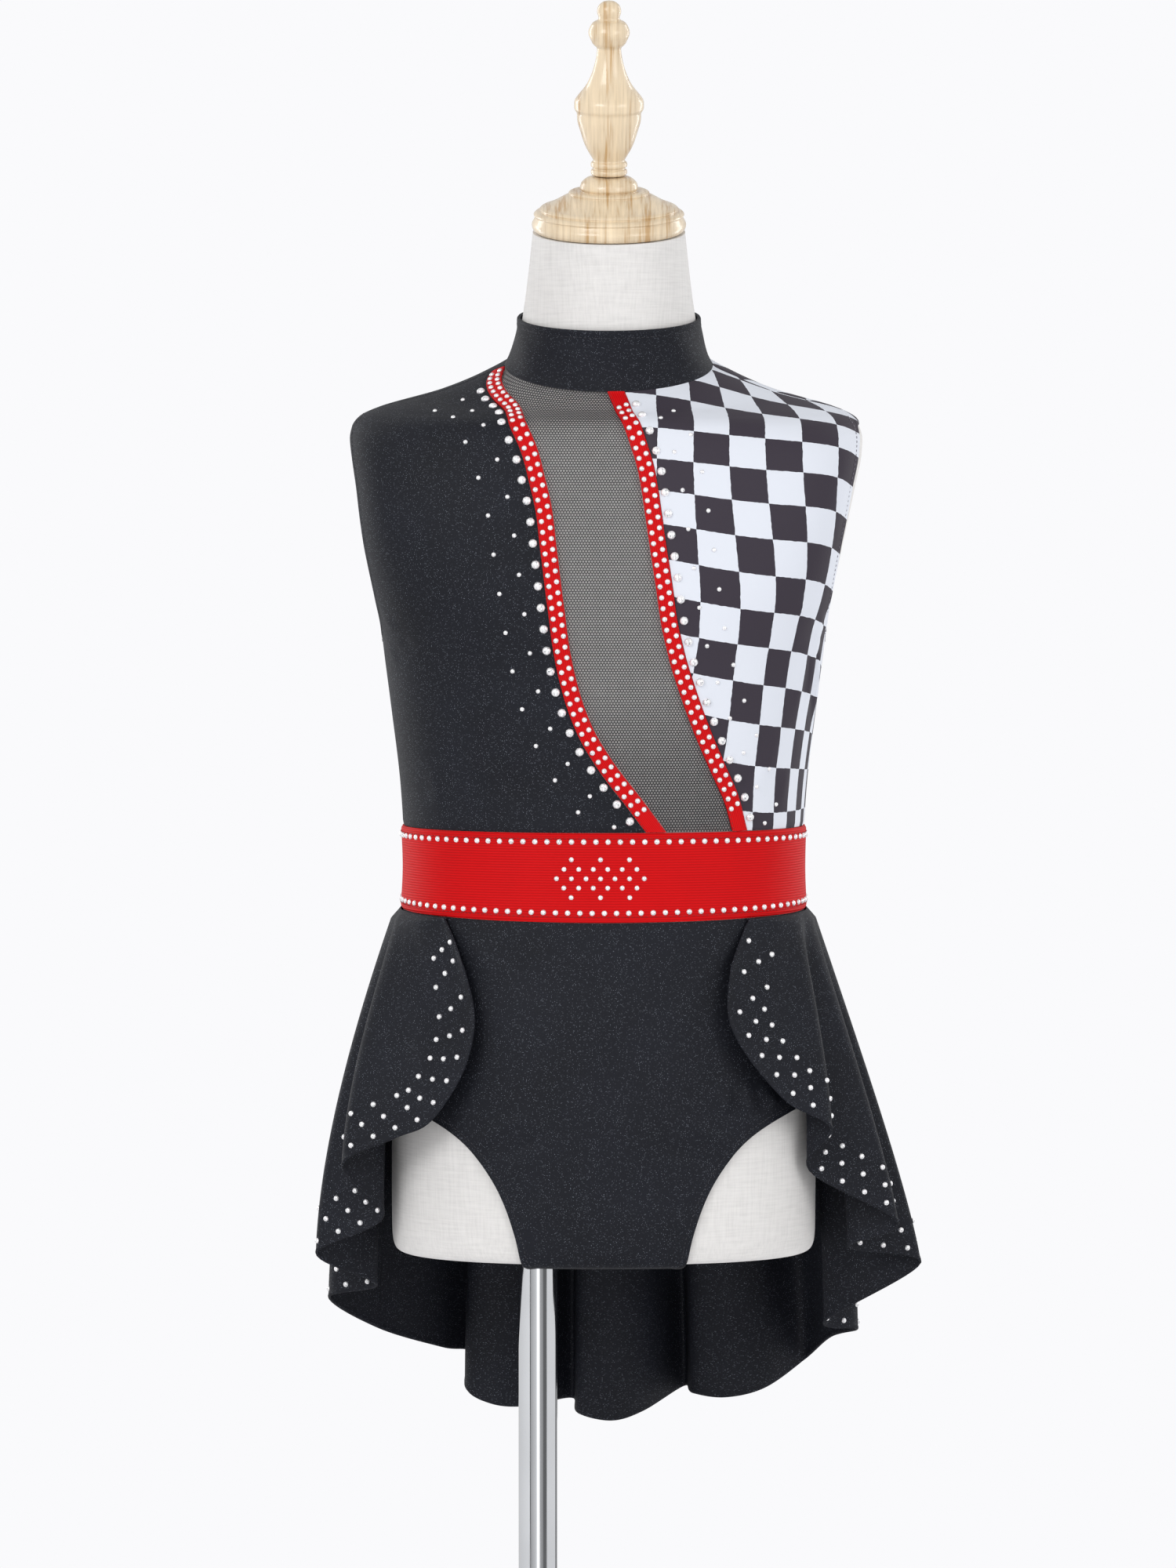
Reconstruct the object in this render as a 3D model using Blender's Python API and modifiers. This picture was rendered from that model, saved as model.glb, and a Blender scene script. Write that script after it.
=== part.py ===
"""Circus leotard with a high-low cascade skirt, on a limbless child's dress form.

Metres, +Z up. The origin is on the floor under the middle of the body, and the front faces -Y.
The form stands on a chrome pole that is set off to the wearer's right.

The body is one smooth surface. A place on it has an angle about the body's axis (0 at the front,
positive towards the wearer's left, 180 at the back) and a level, which is the height of that
section at the body's side. Every cut piece of the leotard is a patch of that surface, moved out.
"""

import math

import bpy
import numpy as np

MM = 0.001

# Cloth, seams and the air that keeps the cloth clear of the form
CLOTH_GAP = 1.2 * MM
CLOTH_WALL = 1.2 * MM
BELT_WALL = 2.4 * MM
SEAM = 0.3 * MM

# Levels of the seams and edges that run round the body
FORM_FOOT = 454.0
UNDER_EDGE = 459.0
BELT_TOP = 719.0
BELT_FOOT = 671.0
BELT_DIP = 3.6
NECK_SEAM = 986.0
COLLAR_TOP = 1017.0
COLLAR_DIP = 2.6
FORM_TOP = 1064.0

# The two red bindings, the levels by which the right front's tip is blunted where it meets one of
# them on the shoulder, and the slit where the back opens
BINDING_WIDTH = 9.4 * MM
BLUNT_TIP = 1.5
BACK_SLIT = 0.4 * MM

# Half the gap of a side or shoulder seam as an angle, at the body's half width there
SIDE_REACH = 100 * MM
SIDE_SEAM = SEAM / 2 / SIDE_REACH

# The body's depth at the back and the neck's, which turn the slit into an angle
BACK_REACH = 90 * MM
NECK_REACH = 50 * MM

# Armholes: an oval on the flat end of each shoulder, fuller in its upper half the lower the power
ARMPIT = 829.0
SHOULDER_TIP = 955.5
ARMHOLE_DEPTH = {"right": 36.0 * MM, "left": 42.0 * MM}
ARMHOLE_POWER = {"right": 0.9, "left": 0.55}

# Stand
POLE_X = -38.5 * MM
POLE_RADIUS = 11.4 * MM
POLE_IN_FORM = 60.0 * MM
BORE_RADIUS = 11.8 * MM

# Sections of the form, from the flat underside to the top of the neck. Millimetres and degrees:
# front and back are the depths from the section's own middle, which is moved by shift_x and
# shift_y, and lean tips the section's front down. fullness 2 is an ellipse, 3 is squarer.
SECTION_COLUMNS = ("level", "height", "half_width", "front", "back",
                   "shift_x", "shift_y", "lean", "fullness")
SECTIONS = (
    (454, 470.0, 112.0, 79.0, 86.0, 0, 0, 0, 2.3),
    (460, 470.0, 117.0, 84.5, 92.0, 0, 0, 0, 2.3),
    (467, 471.5, 121.0, 89.0, 96.5, 0, 0, 0, 2.3),
    (475, 476.5, 123.2, 91.6, 99.0, 0, 0, 0, 2.3),
    (484, 485.0, 123.8, 92.8, 100.3, 0, 0, 0, 2.35),
    (520, 520.0, 124.0, 94.5, 102.0, 0, 0, 0, 2.4),
    (560, 560.0, 123.8, 95.5, 101.5, 0, 0, 0, 2.4),
    (600, 600.0, 122.0, 94.5, 97.5, 0, 0, 0, 2.35),
    (640, 640.0, 118.0, 91.0, 90.5, 0, 0, 0, 2.3),
    (675, 675.0, 114.8, 88.0, 85.0, 0, 0, 0, 2.2),
    (695, 695.0, 114.0, 86.5, 83.5, 0, 0, 0, 2.2),
    (720, 720.0, 114.8, 86.5, 84.0, 0, 0, 0, 2.2),
    (742, 742.0, 116.2, 87.0, 85.5, 0, 0, 0, 2.2),
    (788, 788.0, 121.6, 89.5, 89.5, 0, 0, 0, 2.25),
    (816, 816.0, 125.2, 91.0, 91.5, 0, 0, 0, 2.35),
    (834, 834.0, 127.5, 92.0, 92.5, 0, 0, 0, 2.55),
    (852, 852.0, 132.0, 92.0, 93.0, 0, 0, 0, 2.8),
    (880, 880.0, 138.5, 90.0, 93.5, 0, 0, 0, 3.1),
    (898, 898.0, 141.8, 88.0, 93.0, 0.5, 0, 0, 3.2),
    (917, 917.0, 145.0, 85.0, 91.5, 1.3, 0, 0, 3.1),
    (935, 935.0, 148.0, 81.0, 89.0, 2, 0, 0, 2.9),
    (944, 944.0, 148.6, 78.5, 86.5, 2, 0, 0.5, 2.7),
    (951, 951.0, 147.0, 76.0, 84.0, 2, 0, 1.2, 2.45),
    (956, 956.0, 142.0, 73.5, 81.0, 2, 0, 2.4, 2.2),
    (960, 960.0, 133.0, 70.5, 77.0, 2, 0, 4, 2.0),
    (969, 969.0, 99.0, 64.5, 66.0, 2.5, 0, 9, 1.85),
    (978, 978.0, 75.0, 58.5, 57.0, 3, 0, 13, 1.9),
    (986, 986.0, 59.0, 54.0, 53.0, 3, 0, 16, 2.0),
    (994, 994.0, 54.8, 51.5, 51.0, 3, -1.5, 15, 2.0),
    (1006, 1006.0, 51.8, 50.0, 49.5, 3, -4, 13.5, 2.0),
    (1019, 1019.0, 49.6, 48.5, 48.5, 3, -7, 12, 2.0),
    (1040, 1040.0, 46.8, 46.5, 46.5, 3, -11.5, 11, 2.0),
    (1064, 1064.0, 44.2, 44.0, 44.0, 3, -16.5, 11, 2.0),
)

# Middle lines of the bindings, from under the belt to past the collar: level and angle
BINDING_COLUMNS = ("level", "angle")
BINDING_RIGHT = (
    (705, 26.0),
    (720, 19.0),
    (737, 10.9),
    (758, 0.5),
    (778, -7.0),
    (799, -11.7),
    (820, -14.5),
    (850, -16.8),
    (881, -19.4),
    (902, -21.7),
    (922, -25.6),
    (943, -31.0),
    (960, -39.0),
    (969, -47.0),
    (977, -64.0),
    (983.5, -88.0),
    (990, -112.0),
)
BINDING_LEFT = (
    (705, 51.0),
    (720, 48.6),
    (737, 45.6),
    (757, 40.0),
    (778, 34.2),
    (799, 29.3),
    (820, 25.1),
    (840, 22.2),
    (861, 20.5),
    (881, 19.1),
    (902, 17.4),
    (922, 15.6),
    (943, 12.4),
    (974, 6.9),
    (992, 2.5),
)

# Leg openings of the brief, from the side seam down to the form's underside
LEG_COLUMNS = ("level", "front_angle", "back_angle")
LEG_OPENING = (
    (568, 90.0, 90.0),
    (560, 68.0, 104.0),
    (550, 53.0, 117.0),
    (540, 45.0, 127.0),
    (528, 39.5, 135.0),
    (512, 34.5, 142.0),
    (495, 31.2, 147.0),
    (478, 29.2, 149.5),
    (459, 28.6, 151.0),
)

# The strap under the form, which narrows to pass the pole: share of the way back, then its edges
STRAP_COLUMNS = ("share", "right_edge", "left_edge")
STRAP = (
    (0.0, -40.0, 41.0),
    (0.3, -26.0, 31.0),
    (0.5, -22.5, 28.0),
    (0.68, -24.0, 30.0),
    (1.0, -43.0, 43.0),
)

# The skirt, a row for each turn of its free edge and hem, from the front edge on the wearer's
# right, round the back, to the front edge on the left. waist is the angle at the belt, counted
# from the front towards the wearer's right, and x, y, z the place of the hem in millimetres. With
# a flare of 1 the cloth runs straight down to it, and with more it stands out early.
HEM_COLUMNS = ("name", "waist", "x", "y", "z", "flare")
HEM = (
    ("right_edge_1", 55, -81.2, -86, 643.4, 1.0),
    ("right_edge_2", 59, -74.3, -94, 614.5, 1.0),
    ("right_edge_3", 62, -77.9, -97, 590.0, 1.0),
    ("right_edge_4", 65, -87.4, -96, 569.7, 1.05),
    ("right_corner_1", 69, -101.8, -92, 551.4, 1.15),
    ("right_corner_2", 73, -120.9, -84, 542.6, 1.4),
    ("right_fold_1_out", 78, -150.8, -68, 525.0, 1.6),
    ("right_fold_2_in", 83, -128.0, -46, 493.2, 1.7),
    ("right_fold_3_out", 90, -167.3, -25, 469.7, 1.65),
    ("right_fold_4_in", 96, -133.0, -3, 448.8, 1.7),
    ("right_fold_5_out", 104, -161.6, 22, 438.3, 1.7),
    ("right_sweep", 118, -134.0, 78, 413.4, 1.7),
    ("back_valley_1", 131, -97.0, 126, 396.0, 1.7),
    ("back_valley_1_end", 137, -80.3, 139, 391.0, 1.7),
    ("back_flute_1_edge", 142, -82.5, 114, 373.0, 1.7),
    ("back_flute_1", 148, -68.0, 106, 364.6, 1.7),
    ("back_flute_1_end", 156, -48.0, 112, 362.0, 1.7),
    ("back_valley_2", 168, -19.0, 147, 362.5, 1.7),
    ("back_flute_2_edge", 174, -15.0, 114, 357.6, 1.7),
    ("back_flute_2", 180, 5.0, 106, 354.2, 1.7),
    ("back_flute_2_end", 188, 24.0, 118, 358.5, 1.7),
    ("back_valley_3", 199, 49.0, 149, 369.5, 1.7),
    ("back_flute_3_edge", 206, 54.0, 116, 369.5, 1.7),
    ("back_flute_3", 213, 73.3, 107, 368.1, 1.7),
    ("back_flute_3_end", 221, 96.9, 111, 373.3, 1.7),
    ("back_valley_4", 232, 121.0, 127, 388.0, 1.7),
    ("left_sweep", 244, 136.2, 92, 406.4, 1.7),
    ("left_fold_7_out", 254, 150.5, 52, 416.0, 1.7),
    ("left_fold_6_in", 260, 131.0, 26, 424.0, 1.4),
    ("left_fold_5_out", 267, 185.7, 2, 461.0, 1.2),
    ("left_fold_4_in", 274, 143.0, -18, 472.7, 1.3),
    ("left_fold_3_out", 280, 170.8, -38, 489.4, 1.2),
    ("left_fold_2_in", 285, 119.0, -55, 521.2, 1.7),
    ("left_fold_1_out", 290, 131.0, -73, 547.1, 1.5),
    ("left_corner_2", 295, 106.5, -86, 563.0, 1.3),
    ("left_corner_1", 299, 87.5, -95, 584.0, 1.1),
    ("left_edge_3", 302, 74.9, -97, 603.5, 1.0),
    ("left_edge_2", 305, 70.8, -95, 619.6, 1.0),
    ("left_edge_1", 310, 73.2, -88, 643.4, 1.0),
)
HEM_STEPS = 3
DROP_STEPS = 7
SKIRT_CLEAR = 4.8 * MM
# How far the skirt stands out just under the belt, the share of its drop where it does so, how
# fast that fades below, and how many levels below the belt's edge it starts
SKIRT_PUFF = 3.4 * MM
PUFF_DROP = 0.03
PUFF_FADE = 3
SKIRT_TOP = 0.9
# The skirt's rows lie closer at the top by this power, and below this level the form's hips
# count as straight where the skirt is kept clear of them
ROW_CROWDING = 1.15
HIP_LEVEL = 484

# Turned wood, as radius and height above the neck's top, in millimetres
CAP_PROFILE = (
    (0, 33), (8, 33), (13.5, 31.8), (17, 27), (16.5, 25), (23, 24.2), (31, 18.2), (42, 12),
    (44, 10.6), (42.5, 9.4), (45, 5), (44.2, 2), (42.5, 0.3), (0, 0.3),
)
FINIAL_PROFILE = (
    (0, 135), (3.6, 134.4), (6.3, 132), (7.2, 128.6), (5.6, 124), (9.6, 122.4), (12.6, 116.6),
    (9.4, 109.6), (6.8, 107.6), (7.4, 102), (9.4, 94), (13, 86), (18, 80), (20.2, 77),
    (20.2, 72), (18.6, 70), (18.5, 65), (14, 50.5), (8.9, 42), (10.5, 40), (9.6, 37.4),
    (10.5, 35), (9.4, 33.4), (0, 33.4),
)
BASE_PROFILE = (
    (0, 26), (13, 26), (17, 23), (19, 15), (23, 11.5), (133, 8.6), (138.5, 6.4), (140, 3),
    (139, 0), (0, 0),
)

FORM_SIDES = 36
CAP_SIDES = 24
FINIAL_SIDES = 16
POLE_SIDES = 24
BASE_SIDES = 32

BRIEF_PLACES = 19
BRIEF_ROWS = np.concatenate([np.linspace(0, 0.12, 6), np.linspace(0.2, 0.68, 7), [0.84, 1]])

# Where the rows of the bodice lie, as shares of each edge's length: closest over the shoulder
BODICE_ROWS = np.concatenate([np.linspace(0, 0.64, 11), np.linspace(0.69, 0.95, 10), [0.975, 1]])

# Colour in linear light, roughness and metallic value of each finish
FINISHES = {
    "linen": ((0.78, 0.74, 0.68, 1), 0.9, 0.0),
    "wood": ((0.80, 0.62, 0.38, 1), 0.45, 0.0),
    "chrome": ((0.78, 0.78, 0.80, 1), 0.12, 1.0),
    "black_knit": ((0.018, 0.018, 0.022, 1), 0.6, 0.0),
    "checked_knit": ((0.45, 0.45, 0.47, 1), 0.55, 0.0),
    "red_elastic": ((0.60, 0.01, 0.014, 1), 0.6, 0.0),
    "black_net": ((0.10, 0.10, 0.11, 1), 0.7, 0.0),
}


def column(table, columns, name, scale=1.0):
    """One named column of a table as an array."""
    place = columns.index(name)
    return np.array([row[place] for row in table], float) * scale


def smooth(x, knots, values):
    """Monotone cubic through the knots: no overshoot between the rows of a table."""
    steps = np.diff(knots)
    slopes = np.diff(values) / steps
    tangents = np.zeros(len(knots))
    tangents[0], tangents[-1] = slopes[0], slopes[-1]
    for i in range(1, len(knots) - 1):
        if slopes[i - 1] * slopes[i] > 0:
            before, after = 2 * steps[i] + steps[i - 1], steps[i] + 2 * steps[i - 1]
            tangents[i] = (before + after) / (before / slopes[i - 1] + after / slopes[i])
    i = np.clip(np.searchsorted(knots, x) - 1, 0, len(knots) - 2)
    t = np.clip((x - knots[i]) / steps[i], 0, 1)
    ends = values[i] * (1 + 2 * t) * (1 - t) ** 2 + values[i + 1] * t * t * (3 - 2 * t)
    return ends + steps[i] * (tangents[i] * t * (1 - t) ** 2 - tangents[i + 1] * t * t * (1 - t))


LEVELS = column(SECTIONS, SECTION_COLUMNS, "level")


def section(level, name):
    """One measure of the form's section at a level."""
    return smooth(level, LEVELS, column(SECTIONS, SECTION_COLUMNS, name))


def form_point(angle, level):
    """The form's own surface, a superellipse at each level, from angles in radians."""
    across, along = np.sin(angle), np.cos(angle)
    half = section(level, "half_width")
    depth = np.where(along > 0, section(level, "front"), section(level, "back"))
    fullness = section(level, "fullness")
    reach = (np.abs(across / half) ** fullness + np.abs(along / depth) ** fullness)
    reach = reach ** (-1 / fullness)
    lean = np.radians(section(level, "lean"))
    x = section(level, "shift_x") + reach * across
    y = section(level, "shift_y") - reach * along * np.cos(lean)
    z = section(level, "height") - reach * along * np.sin(lean)
    return np.stack([x, y, z], -1) * MM


def form_slopes(angle, level):
    """How the surface runs with a radian of angle and with a millimetre of level."""
    turn, rise = 0.004, 0.6
    by_angle = form_point(angle + turn, level) - form_point(angle - turn, level)
    by_level = form_point(angle, level + rise) - form_point(angle, level - rise)
    return by_angle / (2 * turn), by_level / (2 * rise)


def body_point(angle, level, out):
    """A place on the body, moved out along its normal."""
    angle, level = np.broadcast_arrays(np.asarray(angle, float), np.asarray(level, float))
    normal = np.cross(*form_slopes(angle, level))
    normal /= np.linalg.norm(normal, axis=-1, keepdims=True)
    return form_point(angle, level) + normal * out


def unit(vectors):
    return vectors / np.linalg.norm(vectors, axis=-1, keepdims=True)


def add_mesh(name, points, faces, finish):
    """A new object from an array of points and its faces, shaded smooth between its edges."""
    mesh = bpy.data.meshes.new(name)
    mesh.from_pydata([tuple(point) for point in points], [], faces)
    mesh.shade_smooth()
    mesh.set_sharp_from_angle(angle=math.radians(40))
    return add_object(name, mesh, finish)


def add_object(name, mesh, finish):
    thing = bpy.data.objects.new(name, mesh)
    thing.data.materials.append(material(finish))
    bpy.data.collections["circus_leotard"].objects.link(thing)
    return thing


def material(name):
    found = bpy.data.materials.get(name)
    if found:
        return found
    colour, roughness, metallic = FINISHES[name]
    found = bpy.data.materials.new(name)
    found.use_nodes = True
    shader = found.node_tree.nodes["Principled BSDF"]
    shader.inputs["Base Color"].default_value = colour
    shader.inputs["Roughness"].default_value = roughness
    shader.inputs["Metallic"].default_value = metallic
    found.diffuse_color = colour
    return found


def grid_faces(rows, columns, close=False):
    """Quads of a grid, row by row. With close, the last column joins the first."""
    faces = []
    for row in range(rows - 1):
        for place in range(columns if close else columns - 1):
            after = (place + 1) % columns
            faces.append((row * columns + place, row * columns + after,
                          (row + 1) * columns + after, (row + 1) * columns + place))
    return faces


def cloth(name, places, finish, wall=CLOTH_WALL):
    """A cloth wall that lies over the body on a grid of places, each an angle and a level."""
    rows, columns = places.shape[:2]
    inner = body_point(places[..., 0], places[..., 1], CLOTH_GAP).reshape(-1, 3)
    outer = body_point(places[..., 0], places[..., 1], CLOTH_GAP + wall).reshape(-1, 3)
    faces = outward_triangles(grid_faces(rows, columns), inner, outer)
    under = [tuple(place + len(outer) for place in face[::-1]) for face in faces]
    last = (rows - 1) * columns
    rim = (list(range(columns)) + [row * columns + columns - 1 for row in range(1, rows)]
           + [last + place for place in range(columns - 2, -1, -1)]
           + [row * columns for row in range(rows - 2, 0, -1)])
    edge = [(there, here, here + len(outer), there + len(outer))
            for here, there in zip(rim, rim[1:] + rim[:1])]
    return add_mesh(name, np.concatenate([outer, inner]), faces + under + edge, finish)


def outward_triangles(quads, inner, outer):
    """Each quad cut along the diagonal that stands further out, so no chord dips to the body."""
    triangles = []
    for a, b, c, d in quads:
        out = outer[a] + outer[c] - inner[a] - inner[c]
        if (inner[a] + inner[c] - inner[b] - inner[d]) @ out > 0:
            triangles += [(a, b, c), (a, c, d)]
        else:
            triangles += [(a, b, d), (b, c, d)]
    return triangles


def hung_cloth(name, points, finish):
    """A cloth wall about a grid of points that hangs clear of the body."""
    rows, columns = points.shape[:2]
    panel = add_mesh(name, points.reshape(-1, 3), grid_faces(rows, columns), finish)
    thicken = panel.modifiers.new("Wall", "SOLIDIFY")
    thicken.thickness = CLOTH_WALL
    thicken.offset = 0
    return panel


def patch(start, end, columns):
    """A grid of places between two edges, each an array of angle and level rows."""
    share = np.linspace(0, 1, columns)[None, :, None]
    return start[:, None, :] * (1 - share) + end[:, None, :] * share


def aside(line, distance):
    """A line on the body, moved along the surface, to the side with the larger angle."""
    angle, level = line[:, 0], line[:, 1]
    by_angle, by_level = form_slopes(angle, level)
    run = unit(np.gradient(form_point(angle, level), axis=0))
    side = unit(np.cross(run, unit(np.cross(by_angle, by_level)))) * distance
    aa, ab, bb = [(p * q).sum(-1) for p, q in ((by_angle, by_angle), (by_angle, by_level),
                                              (by_level, by_level))]
    sa, sb = (side * by_angle).sum(-1), (side * by_level).sum(-1)
    det = aa * bb - ab * ab
    return np.stack([angle + (sa * bb - sb * ab) / det, level + (sb * aa - sa * ab) / det], -1)


def along(line, share):
    """Places on a line at the given shares of its length over the body."""
    points = form_point(line[:, 0], line[:, 1])
    run = np.concatenate([[0], np.cumsum(np.linalg.norm(np.diff(points, axis=0), axis=1))])
    at = share * run[-1]
    return np.stack([np.interp(at, run, line[:, 0]), np.interp(at, run, line[:, 1])], -1)


def binding_edge(table, distance):
    """A line beside a binding's middle, stopped one seam clear of belt, collar and shoulder."""
    share = np.linspace(0, 1, 241)
    knots = np.linspace(0, 1, len(table))
    angle = np.radians(smooth(share, knots, column(table, BINDING_COLUMNS, "angle")))
    level = smooth(share, knots, column(table, BINDING_COLUMNS, "level"))
    middle = along(np.stack([angle, level], -1), np.linspace(0, 1, 121))
    line = along(aside(middle, distance), np.linspace(0, 1, 4001))
    kept = ((line[:, 1] > BELT_TOP + SEAM / MM) & (line[:, 1] < NECK_SEAM - SEAM / MM)
            & (line[:, 0] > SIDE_SEAM - math.pi / 2))
    return line[kept]


def angle_at_depth(level, depth):
    """The angle at which the body's front is a given depth before its middle plane."""
    depth = depth / MM
    front, half = section(level, "front"), section(level, "half_width")
    fullness = section(level, "fullness")
    x = half * (1 - (np.abs(depth) / front) ** fullness) ** (1 / fullness)
    return np.arctan2(x, depth)


def outer_edge(side, back=False, top=NECK_SEAM - SEAM / MM):
    """Side seam, armhole and shoulder seam from the belt up, as angle and level."""
    armhole = np.linspace(0, math.pi, 41)[1:-1]
    middle, half = (SHOULDER_TIP + ARMPIT) / 2, (SHOULDER_TIP - ARMPIT) / 2
    below = np.linspace(BELT_TOP + SEAM / MM, ARMPIT, 12)
    beside = middle - half * np.cos(armhole)
    above = np.linspace(SHOULDER_TIP, top, 16)
    level = np.concatenate([below, beside, above])
    bow = np.sin(armhole) ** np.where(beside > middle, ARMHOLE_POWER[side], 1)
    depth = np.concatenate([0 * below, ARMHOLE_DEPTH[side] * bow, 0 * above])
    angle = np.minimum(angle_at_depth(level, depth), math.pi / 2 - SIDE_SEAM)
    if back:
        angle = math.pi - angle
    return np.stack([-angle if side == "right" else angle, level], -1)


def make_form():
    """The linen torso and neck, one closed loft with a bore for the pole."""
    levels = np.concatenate([np.linspace(FORM_FOOT, HIP_LEVEL, 5), np.linspace(520, 816, 12),
                             [834, 852, 880, 905, 925, 940, 948, 953, 957, 960, 964.5, 969,
                              973.5, 978, 982, 986, 990, 994, 1006, 1019, 1040, FORM_TOP]])
    angles = np.linspace(0, 2 * math.pi, FORM_SIDES, endpoint=False)
    points = form_point(angles[None, :], levels[:, None])
    faces = grid_faces(len(levels), FORM_SIDES, close=True)
    last = (len(levels) - 1) * FORM_SIDES
    faces.append(tuple(range(FORM_SIDES))[::-1])
    faces.append(tuple(range(last, last + FORM_SIDES)))
    form = add_mesh("form_torso", points.reshape(-1, 3), faces, "linen")
    foot = form_point(0.0, FORM_FOOT)[2]
    bpy.ops.mesh.primitive_cylinder_add(vertices=POLE_SIDES, radius=BORE_RADIUS,
                                        depth=2 * POLE_IN_FORM + 2 * SEAM,
                                        location=(POLE_X, 0, foot))
    cutter = bpy.context.object
    cutter.name = "pole_bore"
    cutter.display_type = "WIRE"
    cutter.hide_render = True
    for home in list(cutter.users_collection):
        home.objects.unlink(cutter)
    bpy.data.collections["cutters"].objects.link(cutter)
    bore = form.modifiers.new("Bore", "BOOLEAN")
    bore.object = cutter
    bore.solver = "EXACT"


def collar_top(angle):
    """The collar's top edge, which lies lower towards the back."""
    return COLLAR_TOP - COLLAR_DIP * (1 - np.cos(angle))


def make_collar():
    """The mock neck: one band round the neck, open in a fine slit at the back."""
    reach = math.pi - BACK_SLIT / 2 / NECK_REACH
    angles = np.linspace(-reach, reach, 33)
    foot = NECK_SEAM + SEAM / MM
    levels = foot + np.linspace(0, 1, 4)[:, None] * (collar_top(angles) - foot)
    places = np.stack([np.broadcast_to(angles, levels.shape), levels], -1)
    cloth("collar", places, "black_knit")


def make_bodice():
    """Fronts, backs, the net insert and the two bindings between them."""
    half = BINDING_WIDTH / 2
    edges = {}
    for side, table in (("right", BINDING_RIGHT), ("left", BINDING_LEFT)):
        for name, distance in (("low", -half), ("high", half), ("past_low", -half - SEAM),
                               ("past_high", half + SEAM)):
            edges[side, name] = along(binding_edge(table, distance), BODICE_ROWS)
        strip = patch(edges[side, "low"], edges[side, "high"], 2)
        cloth("binding_" + side, strip, "red_elastic")
    net = patch(edges["right", "past_high"], edges["left", "past_low"], 7)
    cloth("net_insert", net, "black_net")

    point = edges["right", "past_low"][-1, 1] - BLUNT_TIP
    outer = along(outer_edge("right", top=point), BODICE_ROWS)
    cloth("front_right", patch(outer, edges["right", "past_low"], 11), "black_knit")
    outer = along(outer_edge("left"), BODICE_ROWS)
    cloth("front_left_checked", patch(edges["left", "past_high"], outer, 9), "checked_knit")

    slit = BACK_SLIT / 2 / BACK_REACH
    centre = np.linspace(BELT_TOP + SEAM / MM, NECK_SEAM - SEAM / MM, 60)
    middle = along(np.stack([np.full(60, math.pi - slit), centre], -1), BODICE_ROWS)
    outer = along(outer_edge("left", back=True), BODICE_ROWS)
    cloth("back_left_checked", patch(outer, middle, 10), "checked_knit")
    outer = along(outer_edge("right", back=True), BODICE_ROWS)
    middle = middle - [2 * math.pi - 2 * slit, 0]
    cloth("back_right", patch(middle, outer, 10), "black_knit")


def belt_foot(angle):
    """The belt's lower edge, which dips at the front."""
    return BELT_FOOT - BELT_DIP * np.cos(angle)


def make_belt():
    """The wide elastic belt, sewn between bodice and brief, with the slit at the back."""
    reach = math.pi - BACK_SLIT / 2 / BACK_REACH
    angles = np.linspace(-reach, reach, 41)
    foot = belt_foot(angles)
    levels = foot + np.linspace(0, 1, 4)[:, None] * (BELT_TOP - foot)
    places = np.stack([np.broadcast_to(angles, levels.shape), levels], -1)
    cloth("belt", places, "red_elastic", BELT_WALL)


def brief_edge(side, back):
    """Leg opening and side seam from the form's underside up, as angle and level."""
    leg = column(LEG_OPENING, LEG_COLUMNS, "level")
    angle = np.radians(column(LEG_OPENING, LEG_COLUMNS, "back_angle" if back else "front_angle"))
    seam = math.pi / 2 + (SIDE_SEAM if back else -SIDE_SEAM)
    angle = np.maximum(angle, seam) if back else np.minimum(angle, seam)
    share, knots = np.linspace(1, 0, 60), np.linspace(0, 1, len(leg))
    above = np.linspace(leg[0], belt_foot(seam) - SEAM / MM, 12)[1:]
    levels = np.concatenate([smooth(share, knots, leg), above])
    angles = np.concatenate([smooth(share, knots, angle), np.full(len(above), seam)])
    return np.stack([-angles if side == "right" else angles, levels], -1)


def brief_panel(name, start, end):
    """A brief panel: its foot turns under the form and its top follows the belt."""
    places = patch(along(start, BRIEF_ROWS), along(end, BRIEF_ROWS), BRIEF_PLACES)
    angle, level = places[..., 0], places[..., 1]
    rise = belt_foot(angle[-1]) - SEAM / MM - level[-1]
    level += rise * np.clip(BRIEF_ROWS * 4 - 3, 0, 1)[:, None]
    cloth(name, places, "black_knit")


def make_brief():
    """Front and back of the brief, and the strap that joins them under the form."""
    brief_panel("brief_front", brief_edge("right", False), brief_edge("left", False))
    right = brief_edge("right", True) + [2 * math.pi, 0]
    brief_panel("brief_back", brief_edge("left", True), right)

    share = column(STRAP, STRAP_COLUMNS, "share")
    back = np.linspace(0, 1, 13)
    low = smooth(back, share, column(STRAP, STRAP_COLUMNS, "right_edge")) * MM
    high = smooth(back, share, column(STRAP, STRAP_COLUMNS, "left_edge")) * MM
    x = low[:, None] + (high - low)[:, None] * np.linspace(0, 1, 5)
    half = section(UNDER_EDGE, "half_width") * MM
    fullness = section(UNDER_EDGE, "fullness")
    bow = (1 - np.abs(x / half) ** fullness) ** (1 / fullness)
    front = -section(UNDER_EDGE, "front") * MM * bow + SEAM
    rear = section(UNDER_EDGE, "back") * MM * bow - SEAM
    y = front + (rear - front) * back[:, None]
    z = np.full_like(x, form_point(0.0, FORM_FOOT)[2] - CLOTH_GAP - CLOTH_WALL / 2)
    hung_cloth("brief_gusset", np.stack([x, y, z], -1)[::-1], "black_knit")


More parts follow.
